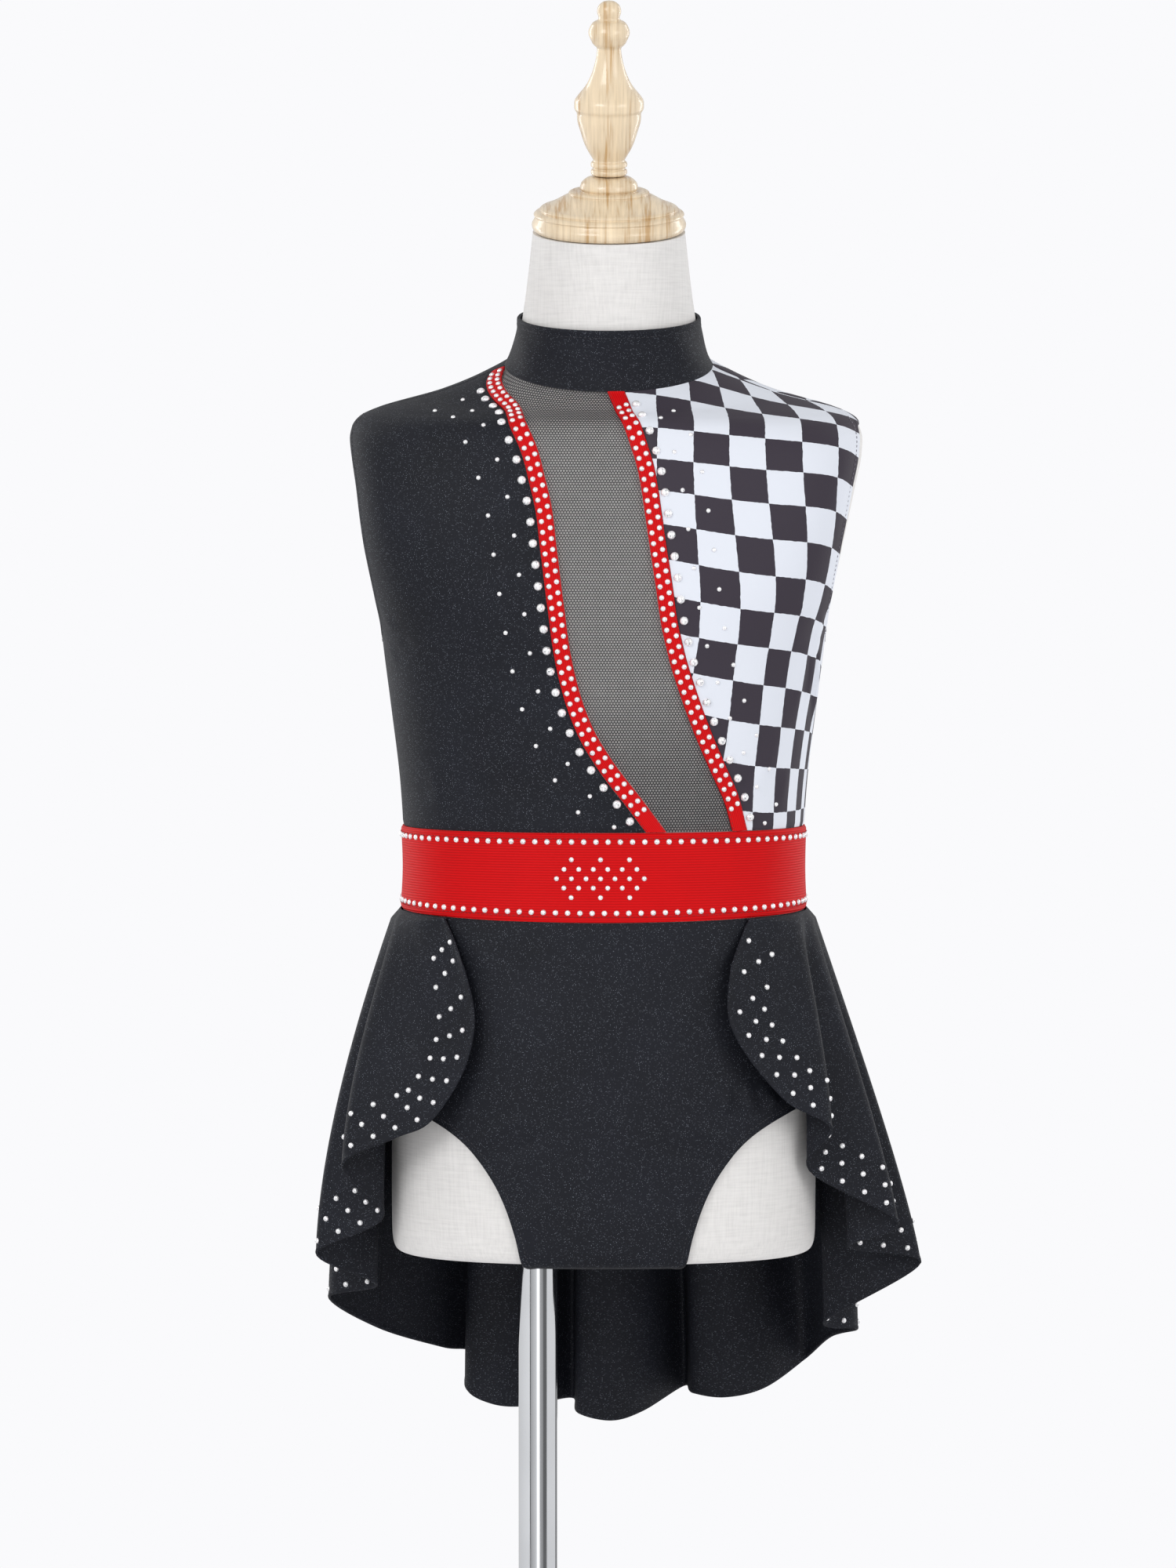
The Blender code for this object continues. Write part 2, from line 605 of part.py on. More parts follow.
def clear_of_body(points, distance):
    """Points moved straight out from the body's axis until they clear the form."""
    x, y, z = points[..., 0], points[..., 1], points[..., 2]
    level = np.maximum(z / MM, HIP_LEVEL)
    half = section(level, "half_width") * MM + distance
    depth = np.where(y < 0, section(level, "front"), section(level, "back")) * MM + distance
    fullness = section(level, "fullness")
    inside = (np.abs(x / half) ** fullness + np.abs(y / depth) ** fullness) ** (1 / fullness)
    reach = np.where(z > section(FORM_FOOT, "height") * MM - distance, np.maximum(1 / inside, 1), 1)
    return np.stack([x * reach, y * reach, z], -1)


def through(values, steps):
    """A smooth curve through the rows of an array, each span cut in equal steps."""
    before = np.concatenate([2 * values[:1] - values[1:2], values[:-2]])
    after = np.concatenate([values[2:], 2 * values[-1:] - values[-2:-1]])
    start, end = values[:-1], values[1:]
    t = (np.arange(steps) / steps)[None, :, None]
    curve = 0.5 * (2 * start[:, None] + t * (end - before)[:, None]
                   + t ** 2 * (2 * before - 5 * start + 4 * end - after)[:, None]
                   + t ** 3 * (3 * start - before - 3 * end + after)[:, None])
    return np.concatenate([curve.reshape(-1, values.shape[1]), values[-1:]])


def skirt_grid():
    """The whole skirt as a grid: rows run down from the belt, columns round the hem."""
    hem = np.stack([column(HEM, HEM_COLUMNS, name, MM) for name in ("x", "y", "z")], -1)
    waist = np.radians(column(HEM, HEM_COLUMNS, "waist"))[:, None]
    flare = column(HEM, HEM_COLUMNS, "flare")[:, None]
    hem, waist = through(hem, HEM_STEPS), -through(waist, HEM_STEPS)[:, 0]
    top = body_point(waist, belt_foot(waist) - SKIRT_TOP, CLOTH_GAP + CLOTH_WALL + 3 * SEAM)
    drop = np.linspace(0, 1, DROP_STEPS + 1) ** ROW_CROWDING
    drop = np.insert(drop, 1, PUFF_DROP)[:, None, None]
    flare = 1 - (1 - drop) ** through(flare, HEM_STEPS)
    plan = top[None, :, :2] * (1 - flare) + hem[None, :, :2] * flare
    height = top[None, :, 2:] * (1 - drop) + hem[None, :, 2:] * drop
    sideways = np.clip(-1.4 * np.cos(2 * waist), 0, 1)[None, :, None]
    fade = np.clip(drop / PUFF_DROP, 0, 1) * (1 - drop) ** PUFF_FADE
    plan += unit(plan) * SKIRT_PUFF * sideways * fade
    points = clear_of_body(np.concatenate([plan, height], -1), SKIRT_CLEAR)
    points[0] = top
    return points


def make_skirt():
    """The skirt in three lengths with a seam behind each side's folds."""
    points = skirt_grid()
    names = [row[0] for row in HEM]
    cuts = [names.index("right_sweep") * HEM_STEPS, names.index("left_sweep") * HEM_STEPS]
    across = unit(np.gradient(points, axis=1)) * SEAM / 2
    for name, first, last in (("skirt_right", 0, cuts[0]), ("skirt_back", cuts[0], cuts[1]),
                              ("skirt_left", cuts[1], points.shape[1] - 1)):
        part = points[:, first:last + 1].copy()
        if first:
            part[:, 0] += across[:, first]
        if last < points.shape[1] - 1:
            part[:, -1] -= across[:, last]
        hung_cloth(name, part, "black_knit")


def turned(name, profile, sides, finish):
    """A turned piece: its profile runs down the outer side and is screwed round."""
    mesh = bpy.data.meshes.new(name)
    points = [(radius * MM, 0, height * MM) for radius, height in profile]
    mesh.from_pydata(points, [(i, i + 1) for i in range(len(points) - 1)], [])
    piece = add_object(name, mesh, finish)
    screw = piece.modifiers.new("Turn", "SCREW")
    screw.steps = sides
    screw.render_steps = sides
    screw.use_merge_vertices = True
    screw.merge_threshold = 0.00005
    screw.use_smooth_shade = True
    return piece


def make_wood():
    """The neck cap and the finial, which follow the neck's lean."""
    shift = [float(section(FORM_TOP, name)) * MM for name in ("shift_x", "shift_y", "height")]
    lean = math.radians(float(section(FORM_TOP, "lean")))
    for name, profile, sides in (("neck_cap", CAP_PROFILE, CAP_SIDES),
                                 ("finial", FINIAL_PROFILE, FINIAL_SIDES)):
        piece = turned(name, profile, sides, "wood")
        piece.location = shift
        piece.rotation_euler = (lean, 0, 0)


def make_stand():
    """The chrome pole, let into the form, and the round plate that it screws into."""
    foot = float(section(FORM_FOOT, "height")) * MM
    plate_top = BASE_PROFILE[0][1] * MM + SEAM
    top = foot + POLE_IN_FORM - SEAM
    bpy.ops.mesh.primitive_cylinder_add(vertices=POLE_SIDES, radius=POLE_RADIUS,
                                        depth=top - plate_top,
                                        location=(POLE_X, 0, (top + plate_top) / 2))
    pole = bpy.context.object
    pole.name = "pole"
    pole.data.materials.append(material("chrome"))
    for home in list(pole.users_collection):
        home.objects.unlink(pole)
    bpy.data.collections["circus_leotard"].objects.link(pole)
    base = turned("base_plate", BASE_PROFILE, BASE_SIDES, "chrome")
    base.location = (POLE_X, 0, 0)


def main():
    for thing in list(bpy.data.objects):
        bpy.data.objects.remove(thing, do_unlink=True)
    for name in ("circus_leotard", "cutters"):
        bpy.context.scene.collection.children.link(bpy.data.collections.new(name))
    make_form()
    make_wood()
    make_stand()
    make_collar()
    make_bodice()
    make_belt()
    make_brief()
    make_skirt()


main()
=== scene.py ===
"""Circus leotard with a high-low cascade skirt on a limbless child's dress form, dressed in detail.

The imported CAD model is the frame, in metres with +Z up and the front facing -Y. The body is one
smooth surface, and every cut piece of the costume is a patch of it: a place has an angle about
the body's axis (0 at the front, positive to the wearer's left) and a level, the height of its
section at the body's side. Each operator makes one piece, or one group of like pieces.
"""

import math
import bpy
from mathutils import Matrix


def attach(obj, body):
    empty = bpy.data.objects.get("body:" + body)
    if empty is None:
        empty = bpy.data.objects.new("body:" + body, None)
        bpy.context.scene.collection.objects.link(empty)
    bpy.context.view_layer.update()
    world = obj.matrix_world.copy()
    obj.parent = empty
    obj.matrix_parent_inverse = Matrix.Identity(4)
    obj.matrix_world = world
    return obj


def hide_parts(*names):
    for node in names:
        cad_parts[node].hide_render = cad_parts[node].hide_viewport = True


bl_info = {
    "name": "Circus Leotard on a Dress Form",
    "version": (1, 0, 0),
    "blender": (4, 5, 0),
    "location": "3D View > Sidebar > Costume",
    "description": "Cloth, stones, stitches, wood and chrome for the packed leotard model",
    "category": "Object",
}

import bpy
import numpy as np
from bpy.props import FloatProperty, FloatVectorProperty, PointerProperty
from bpy.types import Operator, Panel, PropertyGroup

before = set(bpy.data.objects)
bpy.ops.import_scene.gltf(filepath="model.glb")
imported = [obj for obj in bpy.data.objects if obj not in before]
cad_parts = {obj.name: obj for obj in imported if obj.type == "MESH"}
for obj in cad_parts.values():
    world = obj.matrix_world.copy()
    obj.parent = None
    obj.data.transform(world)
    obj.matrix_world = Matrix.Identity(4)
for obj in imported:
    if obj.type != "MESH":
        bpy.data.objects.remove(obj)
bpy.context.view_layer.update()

MM = 0.001

# Cloth, seams and the air that keeps the cloth clear of the form
CLOTH_GAP = 1.2 * MM
CLOTH_WALL = 1.2 * MM
BELT_WALL = 2.4 * MM
SEAM = 0.3 * MM

# Levels of the seams and edges that run round the body
FORM_FOOT = 454.0
UNDER_EDGE = 459.0
BELT_TOP = 719.0
BELT_FOOT = 671.0
BELT_DIP = 3.6
NECK_SEAM = 986.0
COLLAR_TOP = 1017.0
COLLAR_DIP = 2.6
FORM_TOP = 1064.0

# The two red bindings, the levels by which the right front's tip is blunted where it meets one of
# them on the shoulder, and the slit where the back opens
BINDING_WIDTH = 9.4 * MM
BLUNT_TIP = 1.5
BACK_SLIT = 0.4 * MM

# Half the gap of a side or shoulder seam as an angle, at the body's half width there
SIDE_REACH = 100 * MM
SIDE_SEAM = SEAM / 2 / SIDE_REACH

# The body's depth at the back and the neck's, which turn the slit into an angle
BACK_REACH = 90 * MM
NECK_REACH = 50 * MM

# Armholes: an oval on the flat end of each shoulder, fuller in its upper half the lower the power
ARMPIT = 829.0
SHOULDER_TIP = 955.5
ARMHOLE_DEPTH = {"right": 36.0 * MM, "left": 42.0 * MM}
ARMHOLE_POWER = {"right": 0.9, "left": 0.55}

# Stand
POLE_X = -38.5 * MM
POLE_RADIUS = 11.4 * MM
POLE_IN_FORM = 60.0 * MM
BORE_RADIUS = 11.8 * MM

# Sections of the form, from the flat underside to the top of the neck. Millimetres and degrees:
# front and back are the depths from the section's own middle, which is moved by shift_x and
# shift_y, and lean tips the section's front down. fullness 2 is an ellipse, 3 is squarer.
SECTION_COLUMNS = ("level", "height", "half_width", "front", "back",
                   "shift_x", "shift_y", "lean", "fullness")
SECTIONS = (
    (454, 470.0, 112.0, 79.0, 86.0, 0, 0, 0, 2.3),
    (460, 470.0, 117.0, 84.5, 92.0, 0, 0, 0, 2.3),
    (467, 471.5, 121.0, 89.0, 96.5, 0, 0, 0, 2.3),
    (475, 476.5, 123.2, 91.6, 99.0, 0, 0, 0, 2.3),
    (484, 485.0, 123.8, 92.8, 100.3, 0, 0, 0, 2.35),
    (520, 520.0, 124.0, 94.5, 102.0, 0, 0, 0, 2.4),
    (560, 560.0, 123.8, 95.5, 101.5, 0, 0, 0, 2.4),
    (600, 600.0, 122.0, 94.5, 97.5, 0, 0, 0, 2.35),
    (640, 640.0, 118.0, 91.0, 90.5, 0, 0, 0, 2.3),
    (675, 675.0, 114.8, 88.0, 85.0, 0, 0, 0, 2.2),
    (695, 695.0, 114.0, 86.5, 83.5, 0, 0, 0, 2.2),
    (720, 720.0, 114.8, 86.5, 84.0, 0, 0, 0, 2.2),
    (742, 742.0, 116.2, 87.0, 85.5, 0, 0, 0, 2.2),
    (788, 788.0, 121.6, 89.5, 89.5, 0, 0, 0, 2.25),
    (816, 816.0, 125.2, 91.0, 91.5, 0, 0, 0, 2.35),
    (834, 834.0, 127.5, 92.0, 92.5, 0, 0, 0, 2.55),
    (852, 852.0, 132.0, 92.0, 93.0, 0, 0, 0, 2.8),
    (880, 880.0, 138.5, 90.0, 93.5, 0, 0, 0, 3.1),
    (898, 898.0, 141.8, 88.0, 93.0, 0.5, 0, 0, 3.2),
    (917, 917.0, 145.0, 85.0, 91.5, 1.3, 0, 0, 3.1),
    (935, 935.0, 148.0, 81.0, 89.0, 2, 0, 0, 2.9),
    (944, 944.0, 148.6, 78.5, 86.5, 2, 0, 0.5, 2.7),
    (951, 951.0, 147.0, 76.0, 84.0, 2, 0, 1.2, 2.45),
    (956, 956.0, 142.0, 73.5, 81.0, 2, 0, 2.4, 2.2),
    (960, 960.0, 133.0, 70.5, 77.0, 2, 0, 4, 2.0),
    (969, 969.0, 99.0, 64.5, 66.0, 2.5, 0, 9, 1.85),
    (978, 978.0, 75.0, 58.5, 57.0, 3, 0, 13, 1.9),
    (986, 986.0, 59.0, 54.0, 53.0, 3, 0, 16, 2.0),
    (994, 994.0, 54.8, 51.5, 51.0, 3, -1.5, 15, 2.0),
    (1006, 1006.0, 51.8, 50.0, 49.5, 3, -4, 13.5, 2.0),
    (1019, 1019.0, 49.6, 48.5, 48.5, 3, -7, 12, 2.0),
    (1040, 1040.0, 46.8, 46.5, 46.5, 3, -11.5, 11, 2.0),
    (1064, 1064.0, 44.2, 44.0, 44.0, 3, -16.5, 11, 2.0),
)

# Middle lines of the bindings, from under the belt to past the collar: level and angle
BINDING_COLUMNS = ("level", "angle")
BINDING_RIGHT = (
    (705, 26.0),
    (720, 19.0),
    (737, 10.9),
    (758, 0.5),
    (778, -7.0),
    (799, -11.7),
    (820, -14.5),
    (850, -16.8),
    (881, -19.4),
    (902, -21.7),
    (922, -25.6),
    (943, -31.0),
    (960, -39.0),
    (969, -47.0),
    (977, -64.0),
    (983.5, -88.0),
    (990, -112.0),
)
BINDING_LEFT = (
    (705, 51.0),
    (720, 48.6),
    (737, 45.6),
    (757, 40.0),
    (778, 34.2),
    (799, 29.3),
    (820, 25.1),
    (840, 22.2),
    (861, 20.5),
    (881, 19.1),
    (902, 17.4),
    (922, 15.6),
    (943, 12.4),
    (974, 6.9),
    (992, 2.5),
)

# Leg openings of the brief, from the side seam down to the form's underside
LEG_COLUMNS = ("level", "front_angle", "back_angle")
LEG_OPENING = (
    (568, 90.0, 90.0),
    (560, 68.0, 104.0),
    (550, 53.0, 117.0),
    (540, 45.0, 127.0),
    (528, 39.5, 135.0),
    (512, 34.5, 142.0),
    (495, 31.2, 147.0),
    (478, 29.2, 149.5),
    (459, 28.6, 151.0),
)

# The strap under the form, which narrows to pass the pole: share of the way back, then its edges
STRAP_COLUMNS = ("share", "right_edge", "left_edge")
STRAP = (
    (0.0, -40.0, 41.0),
    (0.3, -26.0, 31.0),
    (0.5, -22.5, 28.0),
    (0.68, -24.0, 30.0),
    (1.0, -43.0, 43.0),
)

# The skirt, a row for each turn of its free edge and hem, from the front edge on the wearer's
# right, round the back, to the front edge on the left. waist is the angle at the belt, counted
# from the front towards the wearer's right, and x, y, z the place of the hem in millimetres. With
# a flare of 1 the cloth runs straight down to it, and with more it stands out early.
HEM_COLUMNS = ("name", "waist", "x", "y", "z", "flare")
HEM = (
    ("right_edge_1", 55, -81.2, -86, 643.4, 1.0),
    ("right_edge_2", 59, -74.3, -94, 614.5, 1.0),
    ("right_edge_3", 62, -77.9, -97, 590.0, 1.0),
    ("right_edge_4", 65, -87.4, -96, 569.7, 1.05),
    ("right_corner_1", 69, -101.8, -92, 551.4, 1.15),
    ("right_corner_2", 73, -120.9, -84, 542.6, 1.4),
    ("right_fold_1_out", 78, -150.8, -68, 525.0, 1.6),
    ("right_fold_2_in", 83, -128.0, -46, 493.2, 1.7),
    ("right_fold_3_out", 90, -167.3, -25, 469.7, 1.65),
    ("right_fold_4_in", 96, -133.0, -3, 448.8, 1.7),
    ("right_fold_5_out", 104, -161.6, 22, 438.3, 1.7),
    ("right_sweep", 118, -134.0, 78, 413.4, 1.7),
    ("back_valley_1", 131, -97.0, 126, 396.0, 1.7),
    ("back_valley_1_end", 137, -80.3, 139, 391.0, 1.7),
    ("back_flute_1_edge", 142, -82.5, 114, 373.0, 1.7),
    ("back_flute_1", 148, -68.0, 106, 364.6, 1.7),
    ("back_flute_1_end", 156, -48.0, 112, 362.0, 1.7),
    ("back_valley_2", 168, -19.0, 147, 362.5, 1.7),
    ("back_flute_2_edge", 174, -15.0, 114, 357.6, 1.7),
    ("back_flute_2", 180, 5.0, 106, 354.2, 1.7),
    ("back_flute_2_end", 188, 24.0, 118, 358.5, 1.7),
    ("back_valley_3", 199, 49.0, 149, 369.5, 1.7),
    ("back_flute_3_edge", 206, 54.0, 116, 369.5, 1.7),
    ("back_flute_3", 213, 73.3, 107, 368.1, 1.7),
    ("back_flute_3_end", 221, 96.9, 111, 373.3, 1.7),
    ("back_valley_4", 232, 121.0, 127, 388.0, 1.7),
    ("left_sweep", 244, 136.2, 92, 406.4, 1.7),
    ("left_fold_7_out", 254, 150.5, 52, 416.0, 1.7),
    ("left_fold_6_in", 260, 131.0, 26, 424.0, 1.4),
    ("left_fold_5_out", 267, 185.7, 2, 461.0, 1.2),
    ("left_fold_4_in", 274, 143.0, -18, 472.7, 1.3),
    ("left_fold_3_out", 280, 170.8, -38, 489.4, 1.2),
    ("left_fold_2_in", 285, 119.0, -55, 521.2, 1.7),
    ("left_fold_1_out", 290, 131.0, -73, 547.1, 1.5),
    ("left_corner_2", 295, 106.5, -86, 563.0, 1.3),
    ("left_corner_1", 299, 87.5, -95, 584.0, 1.1),
    ("left_edge_3", 302, 74.9, -97, 603.5, 1.0),
    ("left_edge_2", 305, 70.8, -95, 619.6, 1.0),
    ("left_edge_1", 310, 73.2, -88, 643.4, 1.0),
)

# Turned wood, as radius and height above the neck's top, in millimetres
CAP_PROFILE = (
    (0, 33), (8, 33), (13, 32), (16.3, 29), (17, 25.8), (15.8, 24), (19, 24.6), (22.4, 24.2),
    (23.6, 23.2), (23, 22.4), (27, 20.6), (31.5, 17.9), (36.5, 15.7), (39, 14.9), (40.4, 13.8),
    (39.8, 12.9), (42.6, 12), (44, 10.4), (42.5, 9.4), (45, 5), (44.2, 2), (42.5, 0.3), (0, 0.3),
)
FINIAL_PROFILE = (
    (0, 135), (3.6, 134.4), (6.3, 132), (7.2, 128.6), (5.6, 124), (9.6, 122.4), (12.6, 116.6),
    (9.4, 109.6), (6.8, 107.6), (7.4, 102), (9.4, 94), (13, 86), (18, 80), (20.2, 77),
    (20.2, 72), (18.6, 70), (18.5, 65), (14, 50.5), (8.9, 42), (10.6, 40.8), (10.6, 38.6),
    (8.8, 37.5), (10.6, 36.4), (10.5, 34.3), (9.4, 33.4), (0, 33.4),
)
BASE_PROFILE = (
    (0, 26), (13, 26), (17, 23), (19, 15), (23, 11.5), (133, 8.6), (138.5, 6.4), (140, 3),
    (139, 0), (0, 0),
)

# Rows of the brief, as shares of each edge's length: closest at the foot
BRIEF_ROWS = np.concatenate([np.linspace(0, 0.12, 6), np.linspace(0.2, 0.68, 7), [0.84, 1]])

# Where the rows of the bodice lie, as shares of each edge's length: closest over the shoulder
BODICE_ROWS = np.concatenate([np.linspace(0, 0.64, 11), np.linspace(0.69, 0.95, 10), [0.975, 1]])

# Grid sizes of the fine surfaces
FORM_ROUND = 144
TURN_ROUND = 96
BODICE_FINE = 8
PANEL_COLUMNS = 61
HEM_STEPS = 12
DROP_STEPS = 58
ROLLED_ROWS = (0.984, 0.990, 0.994, 0.998, 1.0)

SKIRT_CLEAR = 4.8 * MM
SKIRT_PUFF = 3.4 * MM
PUFF_DROP = 0.03
PUFF_FADE = 3
SKIRT_TOP = 0.9
ROW_CROWDING = 1.15
HIP_LEVEL = 484

# Puckers and soft folds of the bodice and the brief: the angle in degrees and the level of the
# middle, length and width in millimetres, depth, which is positive for a ridge, and turn, the
# crease's slope in degrees from level, rising towards the wearer's left
CREASES = (
    (77, 838, 22, 2.6, 0.9, 44),
    (72, 834, 26, 2.8, 0.8, 60),
    (73, 812, 62, 3.0, 1.1, 82),
    (78, 806, 66, 3.0, 1.2, 96),
    (75.5, 810, 60, 2.4, -0.6, 90),
    (68, 806, 54, 4.0, 0.6, 78),
    (62, 848, 26, 3.4, 0.4, 8),
    (58, 760, 42, 5.0, 0.5, 62),
    (50, 746, 34, 4.0, -0.4, 66),
    (66, 744, 30, 4.0, 0.4, 74),
    (-70, 838, 34, 3.0, 0.6, -30),
    (-66, 830, 30, 2.8, -0.6, -26),
    (-74, 822, 26, 3.0, 0.5, -40),
    (-46, 762, 46, 5.0, 0.5, -58),
    (-34, 748, 38, 4.0, -0.5, -62),
    (-60, 742, 34, 4.4, 0.4, -72),
    (-20, 742, 22, 3.4, 0.4, -50),
    (-50, 952, 30, 4.0, 0.4, -22),
    (-58, 940, 34, 4.0, -0.4, -30),
    (150, 752, 40, 5.0, 0.5, 60),
    (138, 742, 34, 4.4, -0.4, 70),
    (118, 838, 30, 3.0, 0.5, -28),
    (122, 828, 26, 3.0, -0.5, -24),
    (-118, 836, 30, 3.0, 0.5, 28),
    (-122, 826, 26, 3.0, -0.5, 24),
    (-150, 752, 42, 5.0, 0.5, -60),
    (-136, 744, 34, 4.4, -0.4, -68),
    (166, 900, 60, 6.0, 0.4, 84),
    (-166, 880, 60, 6.0, 0.4, -84),
)
BRIEF_CREASES = (
    (39.5, 566, 22, 3.6, 1.5, 98),
    (46.0, 565, 24, 3.6, 1.7, 104),
    (52.5, 567, 24, 3.6, 1.6, 128),
    (-44, 652, 44, 5.0, 0.6, -66),
    (-30, 640, 40, 5.0, -0.5, -58),
    (40, 650, 44, 5.0, 0.6, 62),
    (28, 636, 36, 4.6, -0.5, 56),
    (0, 610, 60, 7.0, 0.4, 80),
    (-34, 548, 46, 4.0, 0.6, 30),
    (-26, 540, 40, 3.6, -0.5, 26),
    (34, 546, 46, 4.0, 0.6, -30),
    (26, 536, 40, 3.6, -0.5, -26),
    (-22, 500, 36, 4.0, 0.5, 44),
    (22, 498, 36, 4.0, 0.5, -44),
    (172, 600, 60, 6.0, 0.5, 82),
    (150, 550, 44, 4.0, 0.5, -24),
    (-150, 550, 44, 4.0, 0.5, 24),
)

# The photo's pixels across and down, its camera's distance and tilt, and the height that it
# spans round its middle
PHOTO_PIXELS = (1500, 2000)
PHOTO_DISTANCE = 4.5
PHOTO_TILT = math.radians(3)
PHOTO_HEIGHT = 0.916
PHOTO_MIDDLE = (-0.00916, 0, 0.7426)

# Where the printed squares' corners show on the pulled front, read off the photo under a
# ruled grid: how many rows down, the first column, and the pixels across and down of the corner
# at each column from there
PRINT_ROWS = (
    (-3, 2, ((907.5, 471), (946, 487), (991, 502))),
    (-2, 2, ((916.5, 492), (958.5, 503), (1002.5, 513), (1048.5, 523))),
    (-1, 0, ((837, 500), (880, 511), (924.5, 521), (970, 528), (1016, 534), (1061.5, 540))),
    (0, 0, ((837.5, 544), (883.5, 550.5), (929.5, 557), (976.5, 561.5), (1023, 565.5),
            (1071.5, 570))),
    (1, 0, ((838.5, 586.5), (886, 591), (933.5, 596), (980, 600), (1027, 604), (1072, 610))),
    (2, 0, ((839, 629), (888, 633), (936, 637), (983.5, 641.5), (1027.5, 646.5),
            (1069, 654.5))),
    (3, 1, ((890.5, 675.5), (938.5, 680), (984.5, 685.5), (1027, 692), (1061, 700.5))),
    (4, 1, ((891.5, 720.5), (940, 724.5), (985.5, 730.5), (1025, 739), (1051, 747))),
    (5, 1, ((892, 767), (940, 771.5), (984.5, 778.5), (1020, 786.5), (1040, 790.5))),
    (6, 1, ((890.5, 814.5), (938.5, 820.5), (981.5, 827.5), (1012.5, 834), (1030, 836))),
    (7, 2, ((934.5, 870), (976, 877), (1005, 882), (1020.5, 883.5), (1032, 882))),
    (8, 2, ((929, 919.5), (969, 926.5), (997, 930.5), (1013.5, 931), (1025, 929))),
    (9, 2, ((924, 969.5), (962, 976), (991, 979.5), (1008.5, 980), (1020, 977.5))),
)

# What the chrome mirrors round the costume: degrees from the camera's side, positive to the
# wearer's left, and light, which drops where a dark flag would stand
WALLS = ((-180, 0.8), (-50, 1.1), (-48, 0.15), (-45, 0.2), (-42, 0.55), (-10, 0.9), (0, 2.2),
         (7, 2.2), (12, 0.55), (28, 0.45), (33, 0.18), (52, 0.18), (56, 1.0), (122, 1.0),
         (130, 0.2), (142, 0.2), (150, 0.9), (180, 0.8))

# Side of a printed square in millimetres, as the back's plain squares take it
CHECK_PITCH = 21.2

# Where hems are stitched, as a share of their width, and belts, in millimetres from the edge
HEM_STITCH = 0.82
BELT_STITCH = 3.2

# How far from an edge creases take to rise, and the softness of a hem's end, in millimetres of
# level
CREASE_FADE = 4 * MM
HEM_END = 0.8

# How far apart the glitter's dots and the net's holes are drawn, so that they show
GLITTER_PITCH = 0.6 * MM
NET_PITCH = 1.7 * MM

# Rows of stones, in millimetres: from a binding's middle to its own rows, and to the large and
# the small ones beside it, with the start of each small row; steps along a row; from the belt's
# edges; and from the skirt's hem
BINDING_STONES = 2.3
LARGE_STONES = 8.3
SMALL_STONES = ((17.5, 4), (28.5, 15))
LARGE_STEP = 12.3
SMALL_STEP = 22.5
BELT_STONES = (5.0, 5.5)
HEM_STONES = (4.0, 13.0, 22.0)

# Middle of the belt's motif, the section whose depth turns its widths into angles, how much more
# than that depth the front curves by, and how much the motif's rows are spread up the belt
MOTIF_LEVEL = 692.8
MOTIF_SECTION = 693.0
MOTIF_REACH = 1.13
MOTIF_ANGLE = math.radians(-1.3)
MOTIF_RISE = 1.2

# The stones of the belt's motif: three lozenges side by side, one stone to a place, in steps of
# the motif's pitch across and up
LOZENGE = ((0, 2), (1, 1), (2, 0), (1, -1), (0, -2), (-1, -1), (-2, 0), (-1, 1), (0, 0))

BODY = "root"


def linear(hex_colour):
    """An sRGB hex colour as linear light with alpha 1."""
    value = np.array([int(hex_colour[i:i + 2], 16) for i in (1, 3, 5)]) / 255
    light = np.where(value <= 0.04045, value / 12.92, ((value + 0.055) / 1.055) ** 2.4)
    return (*[float(v) for v in light], 1.0)


def colour_property(name, description, hex_colour):
    return FloatVectorProperty(name=name, description=description, subtype="COLOR", size=4,
                               min=0, max=1, default=linear(hex_colour))


def length_property(name, description, default):
    return FloatProperty(name=name, description=description, unit="LENGTH", precision=5,
                         min=0, default=default)


class ClothSizes(PropertyGroup):
    """Walls, hems and stitches of the costume's cloth."""

    wall: length_property("Knit wall", "Thickness of the stretch knit", 0.0012)
    skirt_wall: length_property("Skirt wall", "Thickness of the skirt's knit", 0.0009)
    net_wall: length_property("Net wall", "Thickness of the net insert", 0.0003)
    binding_rise: length_property("Binding rise", "How far a binding's middle stands up", 0.0005)
    hem_width: length_property("Hem width", "Width of the turned hems", 0.0046)
    hem_rise: length_property("Hem rise", "Extra thickness of a turned hem", 0.0004)
    seam_dip: length_property("Seam dip", "How far cloth dips into a seam", 0.0005)
    stitch: length_property("Stitch", "Length of one stitch", 0.0019)
    stitch_pitch: length_property("Stitch pitch", "From one stitch to the next", 0.0027)
    thread: length_property("Thread", "Radius of the sewing thread", 0.00022)
    crease: FloatProperty(name="Creases", description="Strength of the creases", default=1.8,
                          min=0, max=3, subtype="FACTOR")


class StoneSizes(PropertyGroup):
    """Sizes and spacing of the hot-fix stones."""

    large: length_property("Large stone", "Diameter beside the bindings", 0.0052)
    small: length_property("Small stone", "Diameter of the scattered stones", 0.0028)
    line: length_property("Line stone", "Diameter on bindings and belt", 0.0034)
    line_pitch: length_property("Line pitch", "From stone to stone on a binding", 0.0062)
    belt_pitch: length_property("Belt pitch", "From stone to stone on the belt", 0.0069)
    motif_pitch: length_property("Motif pitch", "From stone to stone in a lozenge", 0.0046)
    skirt_pitch: length_property("Skirt pitch", "From stone to stone along the hem", 0.0150)


